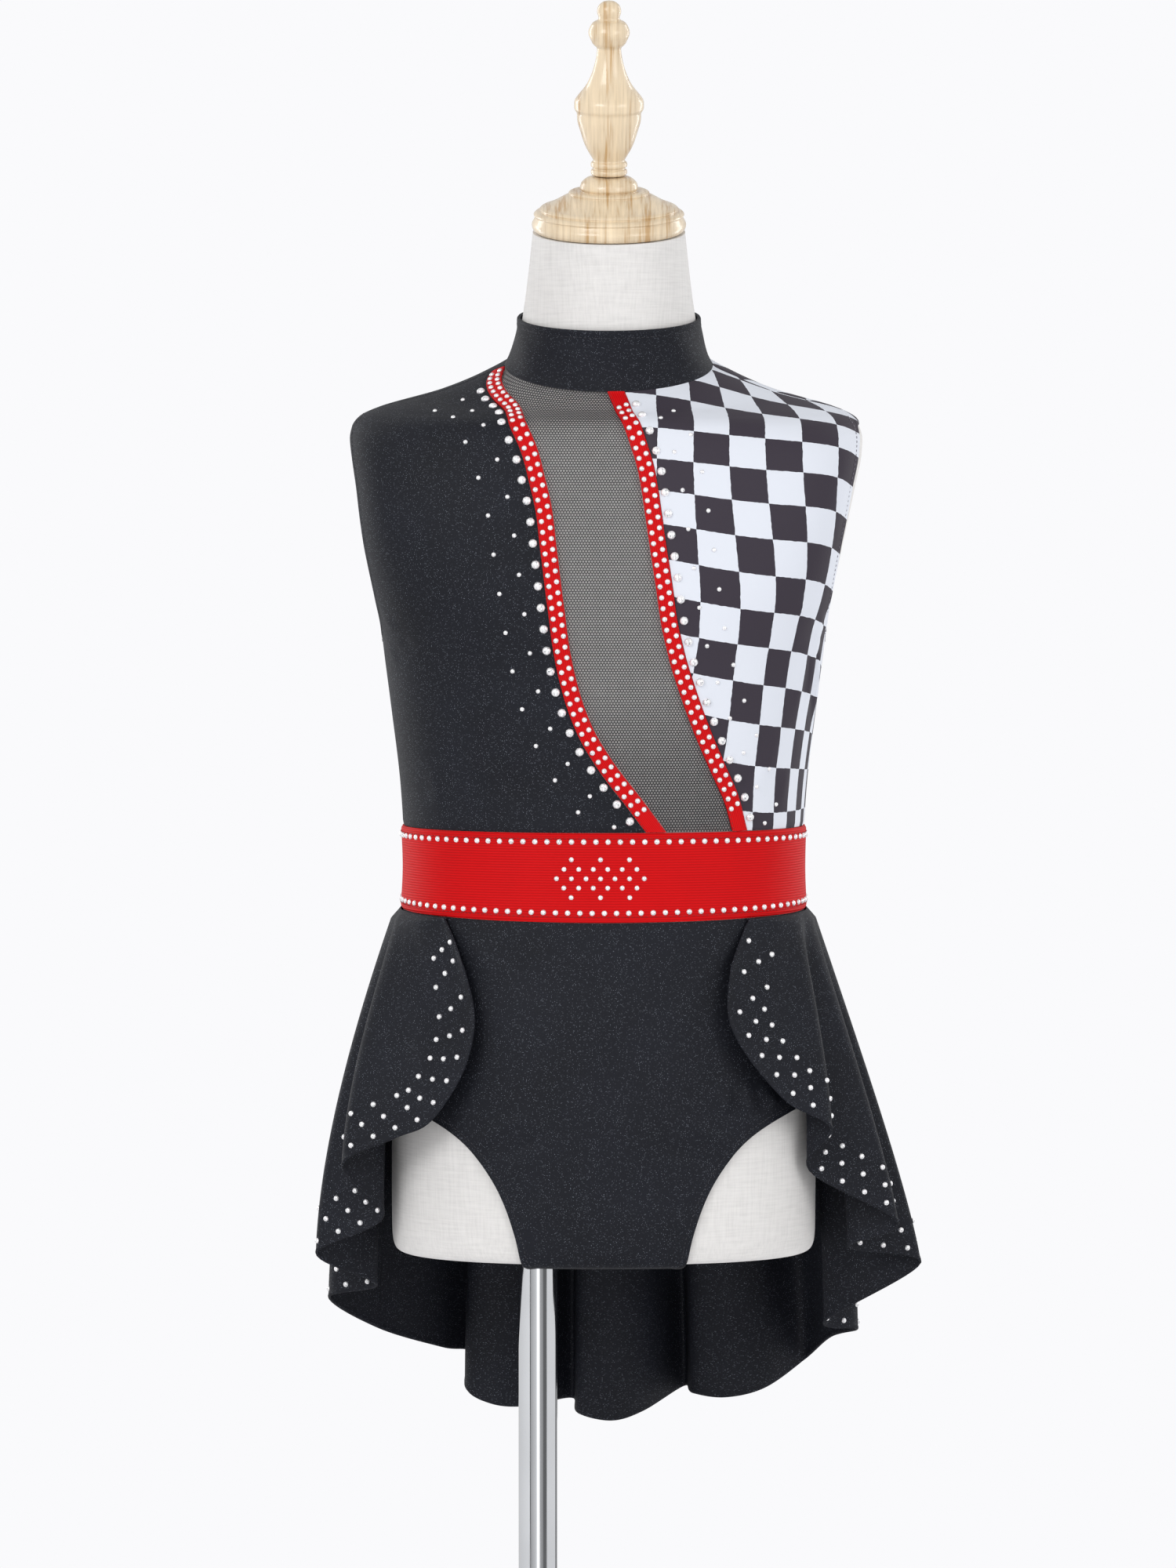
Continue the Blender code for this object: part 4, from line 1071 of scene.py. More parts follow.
def linen_finish(name, colours):
    """Unbleached linen glued over papier-mache: matt, slubs both ways, and a fine tooth.

    The threads are taken to be 0.5 mm apart. They are drawn about 1.1 mm apart so that they
    show, and the slubs run for about 20 mm.
    """
    finish, tree, shader = new_finish(name)
    place = add_node(tree, "TexCoord").outputs["Object"]
    level = add_node(tree, "Mapping", {"Scale": (60, 60, 900)}, {0: place})
    upright = add_node(tree, "Mapping", {"Scale": (850, 850, 50)}, {0: place})
    weft = add_node(tree, "TexNoise", {"Scale": 1.0, "Detail": 3.0}, {"Vector": level.outputs[0]})
    warp = add_node(tree, "TexNoise", {"Scale": 1.0, "Detail": 3.0}, {"Vector": upright.outputs[0]})
    slubs = add_node(tree, "Math", links={0: weft.outputs[0], 1: warp.outputs[0]}, operation="ADD")
    half = add_node(tree, "Math", {1: 0.5}, {0: slubs.outputs[0]}, operation="MULTIPLY")
    colour = add_node(tree, "ValToRGB", links={0: half.outputs[0]},
                      stops=((0.34, scaled(colours.linen, 0.90)),
                             (0.5, scaled(colours.linen, 0.98)),
                             (0.66, scaled(colours.linen, 1.04))))
    bump = add_node(tree, "Bump", {"Strength": 0.5, "Distance": 0.0004},
                    {"Height": half.outputs[0]})
    settle(tree, shader, {"Roughness": 0.85, "Specular IOR Level": 0.25, "Sheen Weight": 0.15},
           {"Base Color": colour.outputs[0], "Normal": bump.outputs[0]})
    return finish


def wood_finish(name, colours):
    """Maple, turned and clear-lacquered: pale, with fine upright pores under a soft gloss."""
    finish, tree, shader = new_finish(name)
    place = add_node(tree, "TexCoord").outputs["Object"]
    stretched = add_node(tree, "Mapping", {"Scale": (760, 60, 26),
                                                       "Rotation": (0, 0, 0.4)}, {0: place})
    broad = add_node(tree, "Mapping", {"Scale": (210, 26, 9), "Rotation": (0, 0, 0.4)}, {0: place})
    pores = add_node(tree, "TexNoise", {"Scale": 1.0, "Detail": 4.0},
                     {"Vector": stretched.outputs[0]})
    rings = add_node(tree, "TexNoise", {"Scale": 1.0, "Detail": 2.0}, {"Vector": broad.outputs[0]})
    mixed = add_node(tree, "Math", links={0: pores.outputs[0], 1: rings.outputs[0]},
                     operation="ADD")
    half = add_node(tree, "Math", {1: 0.5}, {0: mixed.outputs[0]}, operation="MULTIPLY")
    colour = add_node(tree, "ValToRGB", links={0: half.outputs[0]},
                      stops=((0.38, colours.grain),
                             (0.49, scaled(colours.wood, 0.95)),
                             (0.62, scaled(colours.wood, 1.12))))
    bump = add_node(tree, "Bump", {"Strength": 0.12, "Distance": 0.0003},
                    {"Height": half.outputs[0]})
    settle(tree, shader, {"Roughness": 0.42, "Coat Weight": 0.7, "Coat Roughness": 0.16},
           {"Base Color": colour.outputs[0], "Normal": bump.outputs[0]})
    return finish


def chrome_finish(name, colours):
    """Steel, chrome-plated and buffed: a mirror with faint smudges and fine upright polish."""
    finish, tree, shader = new_finish(name)
    place = add_node(tree, "TexCoord").outputs["Object"]
    smudge = add_node(tree, "TexNoise", {"Scale": 26.0, "Detail": 5.0}, {"Vector": place})
    stretched = add_node(tree, "Mapping", {"Scale": (900, 900, 30)}, {0: place})
    polish = add_node(tree, "TexNoise", {"Scale": 1.0, "Detail": 2.0},
                      {"Vector": stretched.outputs[0]})
    rough = add_node(tree, "MapRange", {"From Min": 0.35, "From Max": 0.75,
                                        "To Min": 0.05, "To Max": 0.16},
                     {"Value": smudge.outputs[0]})
    colour = add_node(tree, "ValToRGB", links={0: smudge.outputs[0]},
                      stops=((0.3, colours.chrome), (0.8, scaled(colours.chrome, 0.92))))
    bump = add_node(tree, "Bump", {"Strength": 0.04, "Distance": 0.0002},
                    {"Height": polish.outputs[0]})
    settle(tree, shader, {"Metallic": 1.0},
           {"Base Color": colour.outputs[0], "Roughness": rough.outputs[0],
            "Normal": bump.outputs[0]})
    return finish


def crystal_finish(name, colours):
    """Faceted glass with a foil back: its facets carry a painted reflection, each its own
    brightness, and a faint tint.
    """
    finish, tree, shader = new_finish(name)
    facet_reflection = add_node(tree, "Attribute", attribute_name="FacetReflection")
    place = add_node(tree, "TexCoord").outputs["Object"]
    mottle = add_node(tree, "TexNoise", {"Scale": 700.0, "Detail": 1.0}, {"Vector": place})
    mixed = add_node(tree, "Math", {1: 0.25}, {0: mottle.outputs[0],
                                               2: facet_reflection.outputs["Fac"]},
                     operation="MULTIPLY_ADD")
    # The facets' random brightness and the fine mottle are painted reflection, the light and dark
    # that the facets would mirror.
    colour = add_node(tree, "ValToRGB", links={0: mixed.outputs[0]},
                      stops=((0.12, linear("#7d858c")), (0.34, linear("#c9d0cf")),
                             (0.55, linear("#e9e1e8")), (0.8, colours.stone),
                             (1.0, linear("#ffffff"))))
    settle(tree, shader, {"Roughness": 0.08, "Metallic": 0.35, "IOR": 1.6, "Coat Weight": 1.0,
                          "Coat Roughness": 0.03},
           {"Base Color": colour.outputs[0]})
    return finish


def thread_finish(name, colour):
    """Spun polyester sewing thread: soft, with the twist as a fine change of tone."""
    finish, tree, shader = new_finish(name)
    place = add_node(tree, "TexCoord").outputs["Object"]
    twist = add_node(tree, "TexNoise", {"Scale": 1500.0, "Detail": 2.0}, {"Vector": place})
    tone = add_node(tree, "ValToRGB", links={0: twist.outputs[0]},
                    stops=((0.3, scaled(colour, 0.7)), (0.7, scaled(colour, 1.2))))
    settle(tree, shader, {"Roughness": 0.6},
           {"Base Color": tone.outputs[0]})
    return finish


def floor_finish(name, colour):
    """Matt paper-white studio floor that runs out into the white surround."""
    finish, tree, shader = new_finish(name)
    place = add_node(tree, "TexCoord").outputs["Object"]
    grain = add_node(tree, "TexNoise", {"Scale": 40.0, "Detail": 4.0}, {"Vector": place})
    tone = add_node(tree, "ValToRGB", links={0: grain.outputs[0]},
                    stops=((0.2, scaled(colour, 0.95)), (0.8, colour)))
    settle(tree, shader, {"Roughness": 0.9},
           {"Base Color": tone.outputs[0]})
    glow = add_node(tree, "Emission", {"Color": colour, "Strength": 1.0})
    reach = add_node(tree, "VectorMath", links={0: place}, operation="LENGTH")
    fade = add_node(tree, "MapRange", {"From Min": 0.25, "From Max": 1.3},
                    {"Value": reach.outputs["Value"]}, interpolation_type="SMOOTHSTEP")
    mixed = add_node(tree, "MixShader", links={0: fade.outputs[0],
                                               1: shader.outputs[0],
                                               2: glow.outputs[0]})
    output = tree.nodes["Material Output"]
    tree.links.new(mixed.outputs[0], output.inputs["Surface"])
    return finish


def finish_named(name, maker, *details):
    """The material of that name, made once."""
    return bpy.data.materials.get(name) or maker(name, *details)


class COSTUME_OT_linen_form(Operator):
    """Make the linen torso and neck with the bore for its pole"""

    bl_idname = "costume.linen_form"
    bl_label = "Linen Form"

    def execute(self, context):
        colours = settings()[2]
        finish = finish_named("linen_over_papier_mache", linen_finish, colours)
        knots = np.concatenate([np.linspace(FORM_FOOT, HIP_LEVEL, 16), np.arange(490, 930, 6.0),
                                np.arange(930, 1000, 1.5), np.arange(1000, FORM_TOP - 4, 4.0),
                                FORM_TOP - 3.5 + 3.5 * np.linspace(0, 1, 6)])
        round_it = np.linspace(0, 2 * math.pi, FORM_ROUND, endpoint=False)
        wall = form_point(round_it[None, :], knots[:, None])
        middle = wall[0].mean(axis=0) * [0, 0, 1] + [POLE_X, 0, 0]
        turn = np.arctan2(wall[0][:, 0] - POLE_X, -wall[0][:, 1])
        mouth = middle + BORE_RADIUS * np.stack([np.sin(turn), -np.cos(turn), 0 * turn], -1)
        steps = np.linspace(0, 1, 7)[1:, None, None]
        under = mouth[None] * steps + wall[0][None] * (1 - steps)
        depth = np.array([[[0.0, 0.0, POLE_IN_FORM * 0.5]], [[0.0, 0.0, POLE_IN_FORM]]])
        bore = mouth[None] + depth
        rings = np.concatenate([bore[::-1], under[::-1], wall])
        top, end = wall[-1].mean(axis=0), bore[-1].mean(axis=0)
        piece = rings_object("linen_form", rings, end, top, finish)
        dress(piece, "linen", "form_torso")
        return {"FINISHED"}


def rings_object(name, rings, first, last, finish, uv=None):
    """A closed skin of rings, capped by a fan round a point at each end.

    The rings run anticlockwise seen from the last end.
    """
    rows, columns = rings.shape[:2]
    index = np.arange(rows * columns).reshape(rows, columns)
    after = np.roll(index, -1, axis=1)
    quads = np.stack([index[:-1], after[:-1], after[1:], index[1:]], -1)
    tips = np.full(columns, rows * columns)
    fans = np.concatenate([np.stack([after[0], index[0], tips], -1),
                           np.stack([index[-1], after[-1], tips + 1], -1)])
    points = np.concatenate([rings.reshape(-1, 3), [first, last]])
    return mesh_object(name, points, quads, finish, fans, uv)


def rounded(profile, radius, steps=6):
    """A profile with each corner turned into a curve that starts radius from it.

    The curve is quadratic, from a point before the corner to one after it, and starts no
    further off than 0.45 of the shorter side.
    """
    points = np.array(profile, float)
    before, after = points[:-2] - points[1:-1], points[2:] - points[1:-1]
    reach = np.minimum(np.linalg.norm(before, axis=1), np.linalg.norm(after, axis=1)) * 0.45
    reach = np.minimum(reach, radius)[:, None]
    start, end = points[1:-1] + unit(before) * reach, points[1:-1] + unit(after) * reach
    t = np.linspace(0, 1, steps)[None, :, None]
    corner = points[1:-1][:, None]
    curve = start[:, None] * (1 - t) ** 2 + 2 * corner * t * (1 - t) + end[:, None] * t ** 2
    return np.concatenate([points[:1], curve.reshape(-1, 2), points[-1:]])


def turned_rings(profile, radius, longest=4.0):
    """A rounded profile carried round the axis: x = r sin t, y = -r cos t, z = height."""
    line = rounded(profile, radius)
    run = run_of(line)
    extra = np.arange(0, run[-1], longest)
    line = read_at(np.unique(np.concatenate([run, extra]).round(3)), run, line)
    line = line[line[:, 0] > 0.02][::-1]
    turn = np.linspace(0, 2 * math.pi, TURN_ROUND, endpoint=False)[None, :]
    reach, height = line[:, :1], line[:, 1:] + 0 * turn
    return np.stack([reach * np.sin(turn), -reach * np.cos(turn), height], -1) * MM


class COSTUME_OT_turned_wood(Operator):
    """Turn the neck cap and the finial, leaning with the neck"""

    bl_idname = "costume.turned_wood"
    bl_label = "Turned Wood"

    def execute(self, context):
        finish = finish_named("lacquered_maple", wood_finish, settings()[2])
        shift = np.array([float(section(FORM_TOP, name)) for name in ("shift_x", "shift_y",
                                                                      "height")]) * MM
        lean = math.radians(float(section(FORM_TOP, "lean")))
        tilt = np.array([[1, 0, 0], [0, math.cos(lean), math.sin(lean)],
                         [0, -math.sin(lean), math.cos(lean)]])
        for name, node, profile in (("turned_cap", "neck_cap", CAP_PROFILE),
                                    ("turned_finial", "finial", FINIAL_PROFILE)):
            rings = turned_rings(profile, 6.0) @ tilt + shift
            ends = np.array([[0, 0, profile[-1][1]], [0, 0, profile[0][1]]]) * MM @ tilt + shift
            piece = rings_object(name, rings, ends[0], ends[1], finish)
            dress(piece, "wood", node)
        return {"FINISHED"}


class COSTUME_OT_chrome_stand(Operator):
    """Make the chrome pole and the round plate that it screws into"""

    bl_idname = "costume.chrome_stand"
    bl_label = "Chrome Stand"

    def execute(self, context):
        finish = finish_named("buffed_chrome_plate", chrome_finish, settings()[2])
        foot = float(section(FORM_FOOT, "height"))
        top = foot + (POLE_IN_FORM - SEAM) / MM
        low = BASE_PROFILE[0][1] + SEAM / MM
        radius = POLE_RADIUS / MM
        pole = ((0, top), (radius, top), (radius, low), (0, low))
        for name, node, profile, bevel in (("chrome_pole", "pole", pole, 0.8),
                                           ("chrome_base", "base_plate", BASE_PROFILE, 2.2)):
            rings = turned_rings(profile, bevel, 30.0) + [POLE_X, 0, 0]
            ends = np.array([[POLE_X / MM, 0, profile[-1][1]],
                             [POLE_X / MM, 0, profile[0][1]]]) * MM
            piece = rings_object(name, rings, ends[0], ends[1], finish)
            dress(piece, "chrome", node)
        return {"FINISHED"}


def collar_top(angle):
    """The collar's top edge, which lies lower towards the back."""
    return COLLAR_TOP - COLLAR_DIP * (1 - np.cos(angle))


class COSTUME_OT_collar(Operator):
    """Make the mock neck: one band round the neck, its top edge rolled over"""

    bl_idname = "costume.collar"
    bl_label = "Collar"

    def execute(self, context):
        cloth, _, colours, _ = settings()
        finish = finish_named("black_glitter_jersey", black_knit_finish, colours)
        reach = math.pi - BACK_SLIT / 2 / NECK_REACH
        angles = np.linspace(-reach, reach, 193)
        foot = NECK_SEAM - 0.8 * SEAM / MM
        levels = foot + edge_shares(31)[:, None] * (collar_top(angles) - foot)
        places = np.stack([np.broadcast_to(angles, levels.shape), levels], -1)
        up = (collar_top(angles) - levels) * MM
        ripple = 0.25 * MM * np.sin(9 * places[..., 0] + 0.2 * places[..., 1])
        relief = hem_relief(up, cloth) + ripple * np.clip(up / (6 * MM), 0, 1)
        relief += 0.4 * MM * np.exp(-(up / (2.2 * MM)) ** 2)
        grid = body_point(places[..., 0], places[..., 1], CLOTH_GAP)
        relief += seam_relief(grid, cloth, (1, 1, 1, 0))
        piece = worn("collar_band", places, finish, cloth.wall, relief)
        dress(piece, "black_knit", "collar")
        return {"FINISHED"}


def binding_edges():
    """The four lines beside each binding's middle, as rows of places, in fine steps."""
    half = BINDING_WIDTH / 2
    rows = finer(BODICE_ROWS, BODICE_FINE)
    edges = {}
    for side, table in (("right", BINDING_RIGHT), ("left", BINDING_LEFT)):
        for name, distance in (("low", -half), ("high", half), ("past_low", -half - SEAM),
                               ("past_high", half + SEAM)):
            edges[side, name] = along(binding_edge(table, distance), rows)
    return edges


def print_terms(angle, level):
    """Terms of the print's formula: 1, x, y, z, their squares and products, x cubed and x z z.

    x, y and z are the cloth's place in decimetres, with z counted from 0.9 m.
    """
    place = body_point(angle, level, CLOTH_GAP + CLOTH_WALL) * 10 - [0, 0, 9]
    x, y, z = np.moveaxis(place, -1, 0)
    return np.stack([1 + 0 * x, x, y, z, x * x, x * y, x * z, y * z, y * y, z * z, x ** 3,
                     x * z * z], -1)


def photo_pixels(spots):
    """Where spots of the cloth's outside, as angle and level, show in the photo."""
    outside = body_point(spots[:, 0], spots[:, 1], CLOTH_GAP + CLOTH_WALL)
    across, back, up = np.moveaxis(outside - np.array(PHOTO_MIDDLE), -1, 0)
    rise = back * math.sin(PHOTO_TILT) + up * math.cos(PHOTO_TILT)
    depth = PHOTO_DISTANCE + back * math.cos(PHOTO_TILT) - up * math.sin(PHOTO_TILT)
    scale = PHOTO_PIXELS[1] / PHOTO_HEIGHT * PHOTO_DISTANCE / depth
    return np.stack([PHOTO_PIXELS[0] / 2 + across * scale, PHOTO_PIXELS[1] / 2 - rise * scale], -1)


def spots_at(pixels):
    """Angle and level of the front's outside at pixels of the photo.

    The nearest spot of a coarse grid comes first, and Newton's steps close in from there.
    """
    turns, levels = np.meshgrid(np.radians(np.arange(0, 90)), np.arange(BELT_TOP, NECK_SEAM, 4))
    coarse = np.stack([turns.ravel(), levels.ravel()], -1)
    gaps = np.linalg.norm(photo_pixels(coarse)[:, None] - pixels, axis=-1)
    spots = coarse[gaps.argmin(axis=0)]
    for _ in range(8):
        here = photo_pixels(spots)
        slopes = np.stack([(photo_pixels(spots + nudge) - here) / nudge.sum()
                           for nudge in np.diag([0.001, 0.1])], -1)
        step = np.linalg.solve(slopes, (pixels - here)[..., None])[..., 0]
        spots = spots + np.clip(step, [-0.1, -6], [0.1, 6])
    return spots


def check_squares(angle, level):
    """Squares of the print, counted across and down, through the corners in PRINT_ROWS.

    Both counts are sums of print_terms, whose factors fit the corners by least squares.
    """
    corners = np.array([(first + step, down, *pixel) for down, first, pixels in PRINT_ROWS
                        for step, pixel in enumerate(pixels)])
    factors = np.linalg.lstsq(print_terms(*spots_at(corners[:, 2:]).T), corners[:, :2],
                              rcond=None)[0]
    return print_terms(angle, level) @ factors


class COSTUME_OT_bodice(Operator):
    """Cut the two fronts and two backs, hem their armholes and crease them"""

    bl_idname = "costume.bodice"
    bl_label = "Bodice"

    def execute(self, context):
        cloth, _, colours, _ = settings()
        black = finish_named("black_glitter_jersey", black_knit_finish, colours)
        checked = finish_named("checked_glitter_jersey", checked_finish, colours)
        edges, rows = binding_edges(), finer(BODICE_ROWS, BODICE_FINE)
        point = edges["right", "past_low"][-1, 1] - BLUNT_TIP
        outer = along(outer_edge("right", top=point), rows)
        bodice_panel("front_right_jersey", "front_right", outer, edges["right", "past_low"],
                     "first", black, cloth)
        outer = along(outer_edge("left"), rows)
        bodice_panel("front_left_print", "front_left_checked", edges["left", "past_high"], outer,
                     "last", checked, cloth, check_squares)

        slit = BACK_SLIT / 2 / BACK_REACH
        centre = np.linspace(BELT_TOP + SEAM / MM, NECK_SEAM - SEAM / MM, 60)
        middle = along(np.stack([np.full(60, math.pi - slit), centre], -1), rows)
        outer = along(outer_edge("left", back=True), rows)
        bodice_panel("back_left_print", "back_left_checked", outer, middle, "first", checked,
                     cloth, back_squares)
        outer = along(outer_edge("right", back=True), rows)
        middle = middle - [2 * math.pi - 2 * slit, 0]
        bodice_panel("back_right_jersey", "back_right", middle, outer, "last", black, cloth)
        return {"FINISHED"}


def back_squares(angle, level):
    """Plain squares of the print, on the straight grain of the back.

    The 40 added to the count keeps it above nought and leaves white and black where they are.
    """
    return np.stack([(arc(angle, level) / MM - arc(math.pi, level) / MM) / CHECK_PITCH + 40,
                     (NECK_SEAM - level) / CHECK_PITCH], -1)


def bodice_panel(name, node, start, end, armhole, finish, cloth, squares=None):
    """One panel between two edges, with a hemmed armhole on its first or last column."""
    places = spread(start, end, edge_shares(PANEL_COLUMNS))
    angle, level = places[..., 0], places[..., 1]
    grid = body_point(angle, level, CLOTH_GAP)
    last = armhole == "last"
    run = distance_in(grid, 1, last)
    edge_level = level[:, -1:] if last else level[:, :1]
    open_rows = (1 / (1 + np.exp(-(edge_level - ARMPIT - 1) / HEM_END))
                 / (1 + np.exp((edge_level - SHOULDER_TIP + 1) / HEM_END)))
    relief = crease_relief(angle, level, CREASES) * cloth.crease
    relief = relief * (1 - np.exp(-(run / CREASE_FADE) ** 2))
    relief += hem_relief(run, cloth) * open_rows
    relief += seam_relief(grid, cloth, (1, 1, 1, 1)) * (1 - open_rows * np.exp(-run / CREASE_FADE))
    uv = squares(angle, level) if squares else None
    piece = worn(name, places, finish, cloth.wall, np.maximum(relief, -0.8 * cloth.wall), uv=uv)
    dress(piece, "checked_knit" if squares else "black_knit", node)


class COSTUME_OT_net_insert(Operator):
    """Set in the see-through net between the bindings"""

    bl_idname = "costume.net_insert"
    bl_label = "Net Insert"

    def execute(self, context):
        cloth, _, colours, _ = settings()
        finish = finish_named("nylon_power_net", net_finish, colours)
        edges = binding_edges()
        places = spread(edges["right", "past_high"], edges["left", "past_low"],
                        np.linspace(0, 1, 37))
        piece = worn("power_net", places, finish, cloth.net_wall,
                     start=CLOTH_GAP + CLOTH_WALL - 2 * cloth.net_wall)
        dress(piece, "black_net", "net_insert")
        return {"FINISHED"}


class COSTUME_OT_bindings(Operator):
    """Sew the two flat red bindings over the edges of the net"""

    bl_idname = "costume.bindings"
    bl_label = "Bindings"

    def execute(self, context):
        cloth, _, colours, _ = settings()
        finish = finish_named("red_elastic_binding", elastic_finish, colours, "X", 1.2 * MM, 0.0001)
        edges = binding_edges()
        for side in ("right", "left"):
            share = edge_shares(19)
            places = spread(edges[side, "low"], edges[side, "high"], share)
            bow = 1 - (2 * share - 1) ** 4
            relief = np.broadcast_to(cloth.binding_rise * bow, places.shape[:2])
            grid = body_point(places[..., 0], places[..., 1], CLOTH_GAP)
            uv = np.stack([distance_in(grid, 1, False), distance_in(grid, 0, False)], -1)
            piece = worn(side + "_binding", places, finish, cloth.wall, relief, uv=uv)
            dress(piece, "red_elastic", "binding_" + side)
        return {"FINISHED"}


class COSTUME_OT_belt(Operator):
    """Make the wide ribbed elastic belt"""

    bl_idname = "costume.belt"
    bl_label = "Belt"

    def execute(self, context):
        colours = settings()[2]
        finish = finish_named("red_elastic_belt", elastic_finish, colours, "Y", 1.5 * MM, 0.0004)
        reach = math.pi - BACK_SLIT / 2 / BACK_REACH
        angles = np.linspace(-reach, reach, 361)
        foot = belt_foot(angles)
        share = edge_shares(49, 0.6)[:, None]
        levels = foot + share * (BELT_TOP - foot)
        places = np.stack([np.broadcast_to(angles, levels.shape), levels], -1)
        up, down = (BELT_TOP - levels) * MM, (levels - foot) * MM
        edge = np.minimum(up, down)
        relief = -0.9 * MM * np.exp(-(edge / (0.9 * MM)) ** 2)
        relief -= 0.35 * MM * np.exp(-((edge - BELT_STITCH * MM) / (0.5 * MM)) ** 2)
        relief += 0.3 * MM * np.sin(5 * places[..., 0] + 1) * np.sin(3.1 * share)
        piece = worn("wide_belt", places, finish, BELT_WALL, relief)
        dress(piece, "red_elastic", "belt")
        return {"FINISHED"}


class COSTUME_OT_brief(Operator):
    """Make the brief's front and back and the strap under the form"""

    bl_idname = "costume.brief"
    bl_label = "Brief"

    def execute(self, context):
        cloth, _, colours, _ = settings()
        finish = finish_named("black_glitter_jersey", black_knit_finish, colours)
        right = brief_edge("right", True) + [2 * math.pi, 0]
        for name, node, start, end in (
                ("brief_front_jersey", "brief_front", brief_edge("right", False),
                 brief_edge("left", False)),
                ("brief_back_jersey", "brief_back", brief_edge("left", True), right)):
            rows = finer(BRIEF_ROWS, 10)
            places = spread(along(start, rows), along(end, rows), edge_shares(2 * PANEL_COLUMNS))
            angle, level = places[..., 0], places[..., 1]
            rise = belt_foot(angle[-1]) - SEAM / MM - level[-1]
            level += rise * np.clip(rows * 4 - 3, 0, 1)[:, None]
            grid = body_point(angle, level, CLOTH_GAP)
            run = np.minimum(distance_in(grid, 1, False), distance_in(grid, 1, True))
            hemmed = 1 / (1 + np.exp((level[:, :1] - LEG_OPENING[0][0]) / HEM_END))
            relief = crease_relief(angle, level, BRIEF_CREASES) * cloth.crease
            relief = relief * (1 - np.exp(-(run / CREASE_FADE) ** 2))
            relief += hem_relief(run, cloth) * hemmed
            relief += seam_relief(grid, cloth, (1, 1, 0, 1)) * (1 - hemmed)
            relief = np.maximum(relief, -0.8 * cloth.wall)
            piece = worn(name, places, finish, cloth.wall, relief)
            dress(piece, "black_knit", node)
        strap_piece(cloth, finish)
        return {"FINISHED"}


def strap_piece(cloth, finish):
    """The strap under the form, between the feet of the brief's panels."""
    share = column(STRAP, STRAP_COLUMNS, "share")
    back = np.linspace(0, 1, 73)
    low = smooth(back, share, column(STRAP, STRAP_COLUMNS, "right_edge")) * MM
    high = smooth(back, share, column(STRAP, STRAP_COLUMNS, "left_edge")) * MM
    x = low[:, None] + (high - low)[:, None] * np.linspace(0, 1, 33)
    half = section(UNDER_EDGE, "half_width") * MM
    fullness = section(UNDER_EDGE, "fullness")
    bow = (1 - np.abs(x / half) ** fullness) ** (1 / fullness)
    front = -section(UNDER_EDGE, "front") * MM * bow + SEAM
    rear = section(UNDER_EDGE, "back") * MM * bow - SEAM
    y = front + (rear - front) * back[:, None]
    z = np.full_like(x, form_point(0.0, FORM_FOOT)[2] - CLOTH_GAP)
    upper = np.stack([x, y, z], -1)
    lower = upper - [0, 0, cloth.wall]
    uv = upper[..., :2]
    piece = shell("gusset_strap", lower[::-1], upper[::-1], uv[::-1], finish)
    dress(piece, "black_knit", "brief_gusset")


def skirt_surface():
    """The skirt's middle surface and its unit normals."""
    points = skirt_grid()
    across = np.gradient(points, axis=1)
    down = np.gradient(points, axis=0)
    return points, unit(np.cross(across, down))


class COSTUME_OT_skirt(Operator):
    """Hang the cascade skirt in its three lengths, with a rolled hem"""

    bl_idname = "costume.skirt"
    bl_label = "Skirt"

    def execute(self, context):
        cloth, _, colours, _ = settings()
        finish = finish_named("black_glitter_jersey", black_knit_finish, colours)
        points, normals = skirt_surface()
        names = [row[0] for row in HEM]
        cuts = [names.index("right_sweep") * HEM_STEPS, names.index("left_sweep") * HEM_STEPS]
        run = distance_in(points, 0, True)
        side = np.minimum(distance_in(points, 1, False), distance_in(points, 1, True))
        hem = np.minimum(run, side)
        half = cloth.skirt_wall / 2 + 0.4 * MM * np.exp(-((hem - 1.2 * MM) / (1.2 * MM)) ** 2)
        half = (half * np.clip(hem / (0.6 * MM) + 0.35, 0, 1))[..., None]
        uv = np.stack([distance_in(points, 1, False)[len(points) // 2] + 0 * run,
                       run[:1].max() - run], -1)
        across = unit(np.gradient(points, axis=1)) * SEAM / 2
        last_column = points.shape[1] - 1
        for name, node, first, last in (("skirt_right_length", "skirt_right", 0, cuts[0]),
                                        ("skirt_back_length", "skirt_back", cuts[0], cuts[1]),
                                        ("skirt_left_length", "skirt_left", cuts[1],
                                         last_column)):
            cut = slice(first, last + 1)
            part = points[:, cut].copy()
            if first:
                part[:, 0] += across[:, first]
            if last < last_column:
                part[:, -1] -= across[:, last]
            out = normals[:, cut] * half[:, cut]
            piece = shell(name, part + out, part - out, uv[:, cut], finish)
            dress(piece, "black_knit", node)
        return {"FINISHED"}


